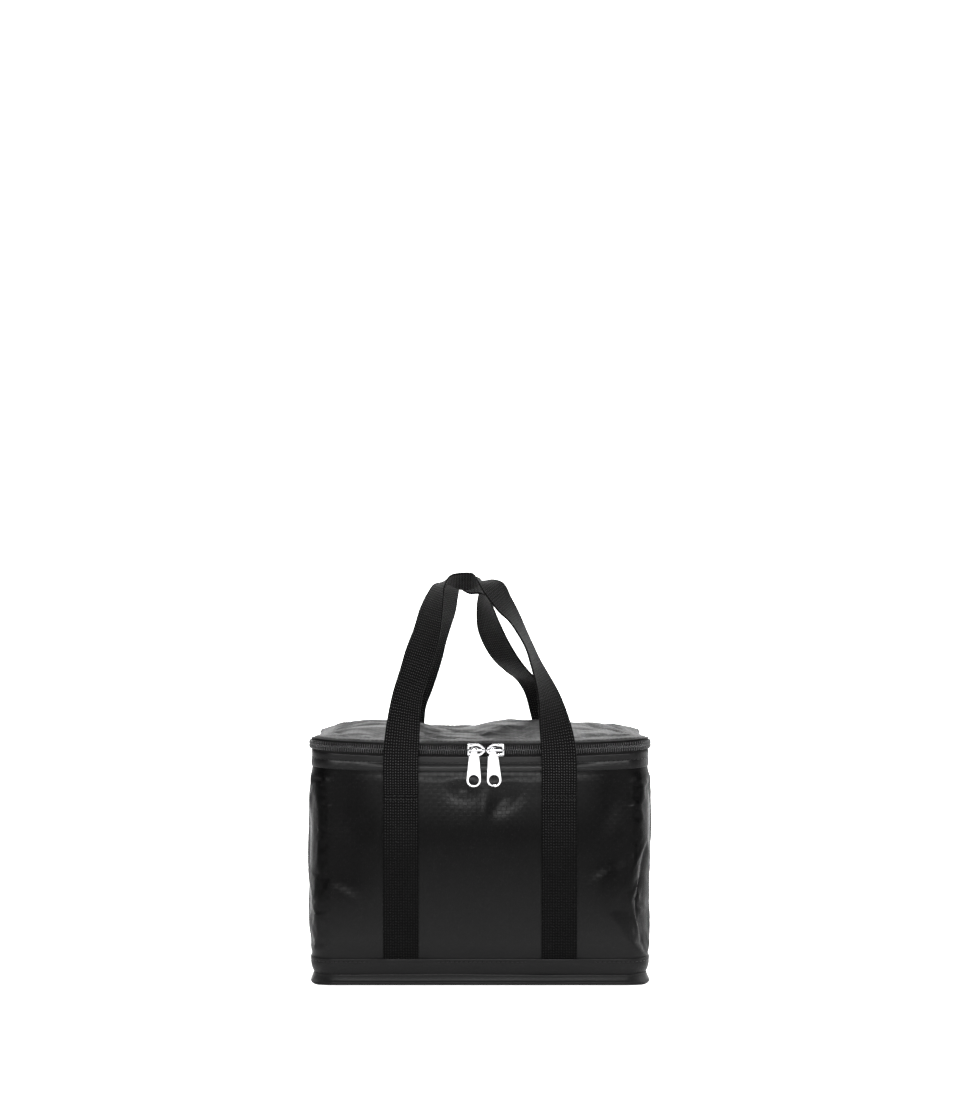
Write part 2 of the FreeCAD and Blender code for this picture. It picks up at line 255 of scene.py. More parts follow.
def pinch(u, z):
    """The upright corner at the front right is squeezed in, with sharp edges round the hollow."""
    near = np.interp(z, [20, 34, 53, 60, 78, 100], [120, 105, 92.5, 94, 106, 118])
    far = np.interp(z, [20, 34, 56, 78, 100], [126, 133, 139, 136, 125])
    low = near + (far - near) * np.interp(z, [20, 56, 100], [0.45, 0.5, 0.45])
    deep = (10.5 * np.sin(np.pi * np.clip((z - 20) / 82, 0, 1)) ** 0.8
            * np.interp(z, [20, 56, 102], [0.8, 1.0, 0.7]))
    left = (u - near) / np.maximum(low - near, 1)
    right = (far - u) / np.maximum(far - low, 1)
    cave = np.minimum(left, right)
    cave = 0.5 * (cave + np.sqrt(cave * cave + 0.0025)) - 0.02
    facet = folds(u, z, ((106, 66), (119, 32), 3.0, 1.7, 0.1), ((104, 50), (121, 84), 4.0, 1.4, 0.1))
    return deep * np.clip(cave, 0, 1) - facet * np.clip(cave * 4, 0, 1)


def wall(u, z):
    """How far the wall's cloth stands proud of the flat body, in mm."""
    a = np.abs(u)
    full = np.sin(np.pi * np.clip((z - BAND_TOP + 1) / (HEM_LO - BAND_TOP + 2), 0, 1))
    flat = 1 - np.exp(-(((a - FLAT_X - 12.5) / 12) ** 2))
    on_front = falling(a, FLAT_X - 8, FLAT_X + 12)
    side = smoothstep(a, FLAT_X + 14, FLAT_X + 34) * falling(a, 235, 260)
    d = full ** 0.40 * (1.0 + 0.9 * flat + 1.9 * corner_share(u))
    d += on_front * hills(u, z, (2.6, 0, 98, 66, 52), (2.2, 0, 114, 50, 28), (-0.7, -96, 140, 26, 30),
                          (-0.7, 96, 140, 26, 30))
    # dents under the pulls
    d -= hills(u, z, (2.2, -12, 140.5, 9, 6.5, -10), (2.4, 17, 134, 11, 7.5, 35))
    d += hills(u, z, (0.9, 3, 127, 5, 11, -15))
    d -= hills(u, z, (2.0, 100, 78, 9, 30, -12))
    # slack left third with a long diagonal fold
    d += crease(u, z, (-118, 16), (-70, 66), 11, 1.7)
    d += crease(u, z, (-110, 74), (-84, 58), 7, 1.2)
    d -= hills(u, z, (1.6, -100, 74, 16, 11, -20), (1.3, -98, 124, 14, 26, 10))
    # right third: two slanting hollows
    d -= hills(u, z, (1.6, 92, 88, 24, 8, 28), (1.4, 97, 132, 9, 22, -28))
    d += crease(u, z, (70, 66), (112, 92), 9, 1.1)
    d -= pinch(u, z)
    # sides and back hang slacker
    d += side * (1.2 * full - 2.4 * bell(a, z, 188, 84, 30, 60))
    for row in (((152, 140), (196, 60), 8, 1.6), ((226, 132), (190, 52), 9, 1.5),
                ((150, 30), (196, 62), 9, 1.3)):
        d += side * crease(a, z, *row)
    d += smoothstep(a, 262, 285) * (
        1.0 * bell(a, z, 392, 90, 70, 50) - 1.2 * bell(u, z, 330, 120, 20, 24, 20)
        - 1.2 * bell(u, z, -345, 60, 24, 18, -20) + crease(u, z, (300, 40), (352, 84), 9, 1.3)
        + crease(u, z, (-300, 130), (-352, 84), 9, 1.3))
    return d * (smoothstep(z, BAND_TOP - 1, BAND_TOP + 8) * falling(z, HEM_LO - 7, HEM_LO + 1))


def wall_rough(u, z):
    """Finer random creasing, light on the front and stronger on the sides and back."""
    away = smoothstep(np.abs(u), FLAT_X + 4, FLAT_X + 30)
    fade = smoothstep(z, BAND_TOP, BAND_TOP + 7) * falling(z, HEM_LO - 6, HEM_LO)
    fine = crumple(u, z, (*ROUND, 20, 152), 260, 3.4, 0.20, 5)
    wide = crumple(u, z, (*ROUND, 20, 152), 90, 9.0, 0.34, 6, (30, 90))
    return fade * (fine * (0.45 + 0.55 * away) + wide * (0.55 + 0.75 * away))


def place(c, n, out, z):
    """Points at distance out from the flat body, at height z; a second axis of out runs up the cloth."""
    if out.ndim > 1:
        c, n = c[:, None], n[:, None]
    r = CORNER + out
    return np.stack([c[..., 0] + n[..., 0] * r, c[..., 1] + n[..., 1] * r, np.broadcast_to(z, r.shape)], -1)


# ------------------------------------------------------------------ materials
class Value:
    """A node's output; a sum or product of it is a Math node."""

    def __init__(self, nodes, socket):
        self.nodes, self.socket = nodes, socket

    def __add__(self, other):
        return self.nodes.math("ADD", self, other)

    def __radd__(self, other):
        return self.nodes.math("ADD", other, self)

    def __rsub__(self, other):
        return self.nodes.math("SUBTRACT", other, self)

    def __mul__(self, other):
        return self.nodes.math("MULTIPLY", self, other)

    def __truediv__(self, other):
        return self.nodes.math("DIVIDE", self, other)


class Nodes:
    """Small helper that wires a material's nodes."""

    def __init__(self, name):
        self.mat = bpy.data.materials.new(name)
        self.mat.use_nodes = True
        self.nt = self.mat.node_tree
        self.bsdf = self.nt.nodes["Principled BSDF"]

    def put(self, value, socket):
        if isinstance(value, Value):
            self.nt.links.new(value.socket, socket)
        elif value is not None:
            socket.default_value = value

    def add(self, kind, *values, out=0, **settings):
        """A node with its first inputs set; gives the output called out, or all of them for None."""
        node = self.nt.nodes.new("ShaderNode" + kind)
        for key, value in settings.items():
            setattr(node, key, value)
        for value, socket in zip(values, node.inputs):
            self.put(value, socket)
        return [Value(self, s) for s in node.outputs] if out is None else Value(self, node.outputs[out])

    def math(self, op, a, b=None):
        return self.add("Math", a, b, operation=op)

    def ramp(self, value, lo, hi, out_lo=0.0, out_hi=1.0):
        return self.add("MapRange", value, lo, hi, out_lo, out_hi, clamp=True)

    def noise(self, vector, scale, detail=3.0, rough=0.5):
        return self.add("TexNoise", vector, None, scale, detail, rough)

    def split(self, vector):
        return self.add("SeparateXYZ", vector, out=None)

    def flat(self):
        """Millimetres along and across the cloth, together and apart."""
        uv = self.add("UVMap", uv_map="flat")
        return uv, *self.split(uv)[:2]

    def space(self):
        return self.add("TexCoord", out="Object")

    def mix(self, factor, a, b):
        return self.add("Mix", factor, None, None, None, None, None, a, b, data_type="RGBA", out=2)

    def bump(self, height, distance, normal=None):
        node = self.nt.nodes.new("ShaderNodeBump")
        for key, value in (("Distance", distance), ("Height", height), ("Normal", normal)):
            self.put(value, node.inputs[key])
        return Value(self, node.outputs[0])

    def done(self, **sockets):
        for key, value in sockets.items():
            self.put(value, self.bsdf.inputs[key.replace("_", " ")])
        return self.mat


def grey(v, blue=None):
    return (v, v, v if blue is None else blue, 1)


def weave(n, u, v, pitch):
    """Flat tapes crossing over and under each other; returns height 0 to 1 and the parity."""
    fu, fv = u / pitch, v / pitch
    pu, pv = n.math("PINGPONG", fu, 0.5), n.math("PINGPONG", fv, 0.5)
    hu, hv = n.ramp(pu, 0.0, 0.24), n.ramp(pv, 0.0, 0.24)
    odd = n.math("FLOORED_MODULO", n.math("FLOOR", fu) + n.math("FLOOR", fv), 2.0)
    over = hu * (0.82 + n.ramp(pv, 0, 0.5) * 0.18)
    under = hv * (0.82 + n.ramp(pu, 0, 0.5) * 0.18)
    keep = 1.0 - odd
    return over * odd + under * keep, odd


def cloth_material(name, base=0.0008, rough=0.30, coarse=1.0, gloss=0.045, middle_tone=0.0):
    """Black laminated woven cloth: flat tapes 3 mm wide under a thin glossy film.

    It is paler low down and high in the middle, and with middle_tone all along the middle: the
    soft light of the photograph, which the lamps alone don't give."""
    n = Nodes(name)
    uv, u, v = n.flat()
    height, odd = weave(n, u, v, 3.07)
    film = n.noise(uv, 0.9, 2.0, 0.45)
    slow = n.noise(uv, 0.035, 3.0, 0.55)
    tone = n.mix(odd, grey(base * 0.93, base * 0.96), grey(base * 1.08, base * 1.12))
    tone = n.mix(n.ramp(slow, 0.35, 0.7, 0.0, 0.35), tone, grey(base * 1.5, base * 1.55))
    x, _, z = n.split(n.space())
    off_middle = n.ramp(n.math("ABSOLUTE", x), 0.060, 0.088)
    mid_low, side_low = n.ramp(z, 0.105, 0.030), n.ramp(z, 0.074, 0.034)
    in_middle = 1.0 - off_middle
    low = side_low * off_middle + mid_low * in_middle
    high = n.ramp(z, 0.112, 0.150, 0.0, 0.9) * in_middle
    tone = n.mix(n.math("MAXIMUM", low, high), tone, grey(base + 0.0065, base + 0.0066))
    if middle_tone:
        middle = n.ramp(n.math("ABSOLUTE", x), 0.082, 0.030)
        tone = n.mix(middle, tone, grey(base + middle_tone))
    r = n.ramp(slow, 0.3, 0.7, rough, rough + 0.07) + odd * 0.035 + n.ramp(height, 0.0, 1.0, 0.06, 0.0)
    relief = 0.00004 * coarse
    normal = n.bump(film, relief, n.bump(height, relief))
    return n.done(Base_Color=tone, Roughness=r, Normal=normal, Specular_IOR_Level=gloss)


def webbing_material():
    """Ribbed polypropylene webbing: rows of short floats, each row a little offset from the next.

    The thread's tops are darker low down and at the upper right, as the light falls in the photograph."""
    n = Nodes("webbing")
    uv, u, v = n.flat()
    col = u / 1.86
    shift = n.math("FLOORED_MODULO", n.math("FLOOR", col), 2.0) * 0.16
    along = v / 2.04 + shift
    across = n.math("PINGPONG", col, 0.5)
    rise = n.math("SINE", n.math("PINGPONG", along, 0.5) * math.pi)
    rib = n.math("POWER", n.ramp(across, 0.0, 0.5), 0.6)
    height = (0.25 + rib * 0.75) * (0.15 + rise * 0.85)
    fuzz = n.noise(uv, 3.2, 3.0, 0.7)
    slow = n.noise(uv, 0.06, 2.0)
    # painted shade: the low parts between the floats are darker
    deep = n.mix(n.ramp(height, 0.25, 0.7), grey(0.0003), grey(0.0016))
    # painted highlight: the tops of the floats are paler, less so low down and at the upper right
    crown_highlight = n.ramp(height, 0.74, 0.97) * n.ramp(fuzz, 0.42, 0.60, 0.25, 1.0)
    x, _, z = n.split(n.space())
    above = n.ramp(z, 0.17, 0.21) * n.ramp(x, -0.045, 0.045, 0.0, 0.75)
    crown_highlight = crown_highlight * (n.ramp(z, 0.09, 0.15, 0.14, 1.0) * (1.0 - above))
    color = n.mix(crown_highlight, deep, grey(0.078, 0.0785))
    color = n.mix(n.ramp(slow, 0.3, 0.7, 0.0, 0.10), color, grey(0.006))
    rough = n.ramp(fuzz, 0.3, 0.7, 0.46, 0.62)
    normal = n.bump(fuzz, 0.00008, n.bump(height, 0.00036))
    return n.done(Base_Color=color, Roughness=rough, Normal=normal, Specular_IOR_Level=0.03)


def tape_material(name, base=0.0025):
    """Fine twill tape."""
    n = Nodes(name)
    uv, u, v = n.flat()
    twill = n.math("PINGPONG", u / 0.75 + v / 0.75, 0.5)
    fuzz = n.noise(uv, 4.0, 3.0, 0.7)
    color = n.mix(n.ramp(twill, 0.0, 0.5), grey(base * 0.5), grey(base * 1.4))
    normal = n.bump(fuzz, 0.00006, n.bump(n.ramp(twill, 0.0, 0.5), 0.00012))
    return n.done(Base_Color=color, Roughness=n.ramp(fuzz, 0.3, 0.7, 0.62, 0.8), Normal=normal,
                  Specular_IOR_Level=0.08)


def plain_material(name, color, rough, metallic, grain, depth):
    """Moulded or plated surface with fine grain and uneven roughness."""
    n = Nodes(name)
    p = n.space()
    fine = n.noise(p, grain, 3.0, 0.6)
    slow = n.noise(p, 90.0, 3.0, 0.6)
    tone = n.mix(n.ramp(slow, 0.35, 0.65), (*(c * 0.72 for c in color[:3]), 1), color)
    r = n.ramp(n.noise(p, 420.0, 4.0, 0.65), 0.3, 0.7, rough - 0.05, rough + 0.05)
    return n.done(Base_Color=tone, Roughness=r, Normal=n.bump(fine, depth), Metallic=metallic)


def thread_material(name, lo, hi):
    n = Nodes(name)
    twist = n.add("TexWave", n.space(), 1400.0, 1.5, 2.0, out=1,
                  wave_type="BANDS", bands_direction="DIAGONAL")
    color = n.mix(twist, grey(lo), grey(hi))
    return n.done(Base_Color=color, Roughness=n.ramp(twist, 0, 1, 0.6, 0.42), Normal=n.bump(twist, 0.00008),
                  Specular_IOR_Level=0.15)


def foil_material():
    """Crinkled aluminised lining with a quilted shimmer."""
    n = Nodes("foil_lining")
    uv = n.flat()[0]
    cells = n.add("TexVoronoi", uv, None, 0.16, feature="F1")
    fine = n.noise(uv, 0.5, 5.0, 0.62)
    color = n.mix(n.ramp(fine, 0.35, 0.65), (0.28, 0.285, 0.295, 1), (0.50, 0.505, 0.52, 1))
    normal = n.bump(fine, 0.0009, n.bump(cells, 0.0012))
    return n.done(Base_Color=color, Roughness=n.ramp(fine, 0.3, 0.7, 0.24, 0.42), Normal=normal,
                  Metallic=0.92)


CLOTH = cloth_material("woven_cloth")
LIDCLOTH = cloth_material("woven_cloth_lid", 0.0026, 0.40, gloss=0.079)
TRIM = cloth_material("woven_cloth_trim", 0.0014, 0.31, 1.2)
HEMCLOTH = cloth_material("woven_cloth_hem", 0.0026, 0.34, 1.2, 0.10, 0.0085)
WEB = webbing_material()
TAPE = tape_material("zipper_tape")
BINDING = tape_material("binding_tape", 0.006)
COIL = plain_material("nylon_coil", grey(0.034, 0.0345), 0.20, 0.0, 9000.0, 0.00003)
# painted shade: a near-black nickel for the floor of the slider's hollow, standing in for the shade there
HOLLOW_SHADE = plain_material("painted_shade_nickel", grey(0.030, 0.031), 0.30, 1.0, 2600.0, 0.00002)
NICKEL = plain_material("nickel_plate", grey(0.60, 0.61), 0.16, 1.0, 2600.0, 0.00002)
THREAD = thread_material("dark_thread", 0.0015, 0.006)
PALE_THREAD = thread_material("strap_thread", 0.002, 0.013)
FOIL = foil_material()


def finish_piece(ob, body, nodes=()):
    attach(ob, body)
    if nodes:
        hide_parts(*nodes)
    return ob


def settle(ob, free, pressure, cap):
    """Lets the cloth find its own small folds: free is 0 where it is sewn down and 1 elsewhere."""
    frames, shrink = 20, -0.02
    me = ob.data
    start = np.empty(len(me.vertices) * 3)
    me.vertices.foreach_get("co", start)
    group = ob.vertex_groups.new(name="sewn")
    for i, w in enumerate(1 - free):
        group.add([i], float(w), "REPLACE")
    mod = ob.modifiers.new("cloth", "CLOTH")
    c = mod.settings
    c.quality, c.mass = 5, 0.15
    c.tension_stiffness = c.compression_stiffness = 12
    c.shear_stiffness, c.bending_stiffness = 4, 0.02
    c.vertex_group_mass, c.pin_stiffness = "sewn", 1.0
    c.shrink_min = shrink
    c.use_pressure, c.uniform_pressure_force = True, pressure
    c.effector_weights.gravity = 0
    mod.collision_settings.use_collision = False
    mod.point_cache.frame_end = frames
    scene = bpy.context.scene
    for f in range(1, frames + 1):
        scene.frame_set(f)
    moved = np.empty_like(start)
    ob.evaluated_get(bpy.context.evaluated_depsgraph_get()).data.vertices.foreach_get("co", moved)
    ob.modifiers.remove(mod)
    ob.vertex_groups.remove(group)
    scene.frame_set(1)
    d = (moved - start).reshape(-1, 3)
    size = np.maximum(np.linalg.norm(d, axis=1), 1e-9)[:, None]
    limit = cap * 0.001
    d *= limit * np.tanh(size / limit) / size * free[:, None]
    me.vertices.foreach_set("co", (start.reshape(-1, 3) + d).ravel())
    me.update()


# ------------------------------------------------------------------ body
C, N, U, AROUND = outline(1.7)
EDGE_SAG = edge_sag(C, N)


def lifted(z, o):
    """Follows the sagging zipper line."""
    return o, z + EDGE_SAG[:, None] * smoothstep(z, 118, 156)


def over_straps(u, width):
    """1 where the front and rear straps are sewn on, 0 beside them."""
    a = np.abs(u)
    return np.maximum(bell(a, 0, STRAP_X, 0, width, 9), bell(a, 0, AROUND / 2 - STRAP_X, 0, width, 9))


rows_z = np.linspace(BAND_TOP - 3, HEM_LO + 3, 88)
uu, zz = np.meshgrid(U, rows_z, indexing="ij")
proud = wall(uu, zz) + wall_rough(uu, zz)
body = grid("body_cloth", place(C, N, *lifted(zz, proud)), U, rows_z, CLOTH, close_u=True)
finish_piece(body, "bag", ("front_panel", "back_panel", "left_panel", "right_panel", "foam_front",
                           "foam_back", "foam_left", "foam_right", "foam_base"))
body_free = (smoothstep(zz, BAND_TOP, BAND_TOP + 10) * falling(zz, HEM_LO - 9, HEM_LO)
             * (1 - np.clip(over_straps(uu, 15) * 1.6, 0, 1))
             * (1 - 0.7 * falling(np.abs(uu), FLAT_X - 6, FLAT_X + 8)))


def strip(name, rows, mat, shape):
    """Band round the bag from a list of (out, z) rows, which shape(u, z, out) moves."""
    out, z = np.array(rows, float).T
    o, zz = (np.tile(a, (len(U), 1)) for a in (out, z))
    pts = place(C, N, *shape(U[:, None], zz, o))
    return grid(name, pts, U, lengths(np.c_[out, z]) + z[0], mat, close_u=True, flip=True)


def ripple(u, k):
    return 0.5 * np.sin(u / 17.0 + k) + 0.35 * np.sin(u / 7.3 + 2.1 * k)


def band_shape(u, z, o):
    soft = crumple(u, z, (*ROUND, 7, 19), 90, 3.0, 0.16, 21, (6, 22))
    lean = falling(z, 8, 17) * corner_share(u)
    o = o + 1.25 * np.clip(1.5 * over_straps(u, 16), 0, 1) * smoothstep(z, 8, 18)
    return o + soft * np.sin(np.pi * np.clip((z - 7) / 12, 0, 1)) - 1.3 * lean, z


def lip_shape(u, z, o):
    ear = corner_share(u)
    low = falling(z, 1, 6)
    bow = 0.7 * np.exp(-((u + 40) / 60) ** 2) * smoothstep(z, 4, 7)
    from_corner = np.abs(u) - (FLAT_X + QUARTER / 2)
    tip = np.exp(-(from_corner / 4) ** 2) * falling(z, 1.0, 3.2)
    o = o - 0.35 + 0.22 * ripple(u, 1.0) - 0.2 * ear * low - 1.2 * ear * (1 - low) + 1.1 * tip
    return o, z + 0.22 * ripple(u, 2.0) * smoothstep(z, 1, 4) + bow - 0.3 * ear * low


def hem_shape(u, z, o):
    """Rolled and stitched hem: it bulges below its stitching, most in the middle of the front."""
    full = 0.12 + 0.88 * falling(np.abs(u), 52, 96) + 0.4 * smoothstep(np.abs(u), 135, 160)
    roll = np.interp(z, [153.2, 154.2, 155.8, 157.4, 158.8, 159.4, 160.2],
                     [0.25, 1.1, 1.7, 1.3, 0.1, -0.35, 0.1])
    o = o * (0.55 + 0.45 * np.minimum(full, 1))
    rough = 0.22 * crumple(u, z, (*ROUND, 153, 164), 120, 3.0, 0.5, 31, (6, 20))
    return lifted(z, o + roll * full + rough * smoothstep(z, 153, 155))


band = strip("base_band_cloth", [
    (0.1, 19.3), (0.75, 19.5), (1.05, 19.2), (1.1, 18.5), (0.95, 17.6), (0.75, 17.0), (0.85, 16.4),
    (0.9, 15.0), (0.75, 13.4), (0.45, 11.8), (0.0, 10.2), (-0.6, 8.8), (-1.2, 7.9),
    (-1.9, 7.3)], TRIM, band_shape)
finish_piece(band, "bag", ("base_band",))
lip = strip("base_lip_cloth", [
    (-2.2, 7.4), (-1.3, 7.9), (-0.7, 7.8), (-0.4, 7.3), (-0.4, 6.5), (-0.2, 5.4), (0.2, 4.2), (0.6, 3.3),
    (0.95, 2.9), (1.35, 2.5), (1.5, 1.9), (1.4, 1.2), (1.0, 0.7), (0.4, 0.5), (-2.5, 0.6)], TRIM, lip_shape)
finish_piece(lip, "bag", ("base_lip",))
hem = strip("hem_band_cloth", [
    (0.2, 163.9), (0.7, 164.2), (1.05, 163.9), (1.1, 163.2), (1.0, 162.2), (0.9, 161.2),
    (0.8, 160.4), (0.65, 159.8), (0.6, 159.4), (0.7, 158.9), (0.85, 158.0), (0.95, 156.8),
    (0.95, 155.6), (0.9, 154.6), (0.8, 153.8),
    (0.55, 153.3), (0.0, 153.1)], HEMCLOTH, hem_shape)
finish_piece(hem, "bag", ("hem_band",))


def slab_cap(name, height, out, mat, step, flip=False):
    """Rounded-rectangle sheet: a border ring down to the flat middle, then a plain grid.

    height is a number or a function of the sheet's points."""
    hx, hy, right, rings, fan = FLAT_X, FLAT_Y, math.pi / 2, 7, 9
    nx, ny = int(round(2 * hx / step)), int(round(2 * hy / step))
    xs, ys = np.linspace(-hx, hx, nx + 1), np.linspace(-hy, hy, ny + 1)
    verts, faces, index = [], [], {}

    def vert(x, y):
        key = (round(x, 4), round(y, 4))
        if key not in index:
            index[key] = len(verts)
            verts.append((x, y, 0.0))
        return index[key]

    for x0, x1 in zip(xs, xs[1:]):
        for y0, y1 in zip(ys, ys[1:]):
            faces.append([vert(x0, y0), vert(x1, y0), vert(x1, y1), vert(x0, y1)])
    rim = []
    for turn, line in ((-1, [(x, -hy) for x in xs]), (0, [(hx, y) for y in ys]),
                       (1, [(x, hy) for x in xs[::-1]]), (2, [(-hx, y) for y in ys[::-1]])):
        rim += [(x, y, turn * right) for x, y in line[:-1]]
        rim += [(*line[-1], turn * right + right * k / fan) for k in range(fan)]
    radii = np.linspace(0, CORNER + out, rings + 1)
    for r0, r1 in zip(radii, radii[1:]):
        for a, b in zip(rim, rim[1:] + rim[:1]):
            quad = []
            for (px, py, t), r in ((a, r0), (a, r1), (b, r1), (b, r0)):
                q = vert(px + r * math.cos(t), py + r * math.sin(t))
                if q not in quad:
                    quad.append(q)
            if len(quad) > 2:
                faces.append(quad)
    pts = np.array(verts)
    pts[:, 2] = height(pts) if callable(height) else height
    if flip:
        faces = [f[::-1] for f in faces]
    return new_mesh(name, pts, faces, [verts[q][:2] for f in faces for q in f], mat)


settle(body, body_free.ravel(), 0.3, 1.2)
base = slab_cap("base_cloth", 0.15, -1.4, TRIM, 5.0, flip=True)
finish_piece(base, "bag", ("base_panel",))


# ------------------------------------------------------------------ lid
def edge_gap(p):
    """Distance in from the body's outline, 0 at the edge and 16 or more over the middle."""
    past = np.abs(p[:, :2]) - (FLAT_X, FLAT_Y)
    in_corner = CORNER - np.hypot(*np.maximum(past, 0).T)
    return np.where((past > 0).any(1), in_corner, CORNER - np.minimum(past.max(1), 0))


def lid_height(x, y):
    """How the padded lid puffs up and folds, in mm."""
    h = hills(x, y, (4.3, -88, 40, 36, 34), (3.6, 32, 42, 36, 32), (1.8, 98, 40, 22, 32))
    h += hills(x, y, (1.6, -70, -14, 36, 24), (1.4, 52, -12, 40, 22))
    h -= hills(x, y, (4.6, -16, 50, 20, 46, 14), (1.8, 72, 44, 11, 26))
    h -= hills(x, y, (1.6, 8, -36, 70, 20))
    for pair in ((((-112, 62), (-56, -4), 6, 2.4, 0.15), ((-70, 66), (-34, 4), 6, 2.4, 0.15)),
                 (((-22, 44), (40, -26), 6, 2.8, 0.12), ((6, 64), (52, 12), 6, 2.0, 0.15)),
                 (((44, 64), (92, -6), 6, 2.0, 0.2), ((-114, -30), (-60, -18), 7, 1.8)),
                 (((70, 46), (114, -34), 7, 2.0, 0.2), ((-44, -26), (30, -40), 8, -1.5))):
        h += folds(x, y, *pair)
    h -= folds(x, y, ((-106, 26), (-56, 38), 4, 2.0, 0.15), ((88, 64), (110, 14), 4, 1.6, 0.15))
    h = 4.6 * np.tanh(h / 4.6)
    h += crumple(x, y, (-115, 115, -70, 70), 110, 3.4, 0.30, 41, (10, 36))
    h += crumple(x, y, (-115, 115, -70, 70), 40, 8.0, 0.50, 42, (24, 80))
    return h


def lid_top(p):
    """Height of the lid's cloth at the points p."""
    x, y, gap = p[:, 0], p[:, 1], edge_gap(p)
    rise = np.interp(gap, [-0.6, 0.4, 1.2, 2.2, 3.6, 6.0, 10.0, 16.0, 30.0, 59.0],
                     [172.8, 173.9, 174.2, 174.5, 174.9, 175.2, 175.5, 175.9, 176.2, 176.4])
    pucker = 0.35 * np.sin(x / 3.1 + np.sin(x / 11)) * np.exp(-((gap - 4) / 3) ** 2)
    return rise + smoothstep(gap, 2, 14) * lid_height(x, y) + pucker * 0.5 + sag(x, y)


lid = slab_cap("lid_cloth", lid_top, 0.5, LIDCLOTH, 1.9)
finish_piece(lid, "lid", ("lid_panel", "foam_lid"))
lid_co = np.array([v.co for v in lid.data.vertices]) * 1000
settle(lid, smoothstep(edge_gap(lid_co), 3, 16), 0.6, 2.0)

lid_side = strip("lid_edge_cloth", [(-0.6, 173.5), (0.2, 173.8), (0.55, 173.6), (0.65, 173.1), (0.45, 172.6),
                                    (0.0, 172.4)], TRIM, lambda u, z, o: lifted(z, o))
finish_piece(lid_side, "lid")


# ------------------------------------------------------------------ zipper
def run(step, y_end):
    """Evenly spaced stations along the zipper: the front and both sides as far back as y_end."""
    c, n, u, _ = outline(0.25)
    keep = c[:, 1] + n[:, 1] * CORNER < y_end
    order = np.argsort(u[keep])
    c, n, u = (a[keep][order] for a in (c, n, u))
    want = np.arange(u[0] + step / 2, u[-1], step)
    return sampled(want, u, c), unit(sampled(want, u, n)), want


def tape(half, body_name, z0, z1):
    c, n, u = run(3.0, ZIP_END)
    dz = edge_sag(c, n)[:, None]
    zs = np.linspace(z0, z1, 5)
    o = np.tile([0.15, 0.3, 0.35, 0.3, 0.15], (len(u), 1))
    pts = np.concatenate([place(c, n, o, zs + dz), place(c, n, o[:, ::-1] - 0.6, zs[::-1] + dz)], 1)
    ob = grid("zip_tape_" + half, pts, u, np.r_[zs, zs[::-1] + 8], TAPE, close_v=True)
    finish_piece(ob, body_name, ("zipper_tape_" + half,))


tape("lower", "bag", 161.0, ZIP_Z - 1.2)
tape("upper", "lid", ZIP_Z + 1.2, 173.5)


def tooth():
    """One turn of the coil: a rounded loop that rises from the tape and closes in a wider head."""
    path = np.array([(0, 2.75, 0.2), (0, 2.85, 0.9), (0, 2.45, 1.45), (0, 1.6, 1.75), (0, 0.7, 1.8),
                     (0, 0.0, 1.65), (0, -0.35, 1.15), (0, -0.25, 0.6)])
    wide = [0.24, 0.26, 0.27, 0.28, 0.31, 0.42, 0.42, 0.30]
    thick = [0.36, 0.40, 0.42, 0.42, 0.42, 0.42, 0.40, 0.30]
    side, k = np.array([1.0, 0, 0]), 8
    verts = []
    for i, p in enumerate(path):
        d = path[min(i + 1, len(path) - 1)] - path[max(i - 1, 0)]
        up = np.cross(d / np.linalg.norm(d), side)
        for a in (2 * math.pi * j / k for j in range(k)):
            verts.append(p + side * wide[i] * math.cos(a) + up * thick[i] * math.sin(a))
    return np.array(verts), shell_faces(len(path), k)


def coil(half, body_name, up, shift):
    """Half of the coil; up is +1 for the lid's half, and shift is in turns."""
    pitch = 1.62
    c, n, u = run(pitch, ZIP_END - 1.0)
    along = np.stack([-n[:, 1], n[:, 0], np.zeros(len(u))], 1)
    p = c + n * (CORNER + 0.05) + along[:, :2] * shift * pitch
    frames = np.zeros((len(u), 3, 4))
    frames[:, :, 0] = along * up
    frames[:, 2, 1] = up
    frames[:, :2, 2] = n
    frames[:, :2, 3] = p
    frames[:, 2, 3] = ZIP_Z + up * 0.12 + sag(p[:, 0], p[:, 1])
    ob = merged("zip_coil_" + half, tooth(), frames, COIL)
    finish_piece(ob, body_name, ("zipper_coil_" + half,))


coil("lower", "bag", -1, 0.0)
coil("upper", "lid", 1, 0.5)


# ------------------------------------------------------------------ stitching
def stitch_mesh(length, radius):
    rings, k = [(-0.5, 0.35), (-0.38, 0.85), (-0.15, 1.0), (0.15, 1.0), (0.38, 0.85), (0.5, 0.35)], 6
    verts = [(t * length, radius * r * math.cos(a), radius * r * math.sin(a) * 0.8 - 0.10 * (2 * t) ** 2)
             for t, r in rings for a in (2 * math.pi * j / k for j in range(k))]
    return np.array(verts), shell_faces(len(rings), k)


def stitches(name, points, normals, body_name, pitch=3.3, length=2.5, radius=0.28, nodes=(), mat=THREAD):
    """Stitches every pitch mm along each polyline in points, lying on the surface."""
    frames = []
    for line, nor in zip(points, normals):
        line, nor = np.asarray(line, float), np.asarray(nor, float)
        at = lengths(line)
        want = np.arange(pitch / 2, at[-1], pitch)
        t = unit(sampled(np.minimum(want + 0.5, at[-1]), at, line)
                 - sampled(np.maximum(want - 0.5, 0), at, line))
        m = sampled(want, at, nor)
        m = unit(m - t * (m * t).sum(1)[:, None])
        frames.append(np.stack([t, np.cross(m, t), m, sampled(want, at, line)], 2))
    ob = merged(name, stitch_mesh(length, radius), np.concatenate(frames), mat)
    finish_piece(ob, body_name, nodes)


def closed_lines(p, n):
    """The line p with its normals n, back to its start, as stitches() takes them."""
    return [np.vstack([p, p[:1]])], [np.vstack([n, n[:1]])]


def ring_line(z, out, rise):
    return closed_lines(place(C, N, np.full(len(U), out), z + rise), np.c_[N, np.zeros(len(U))])


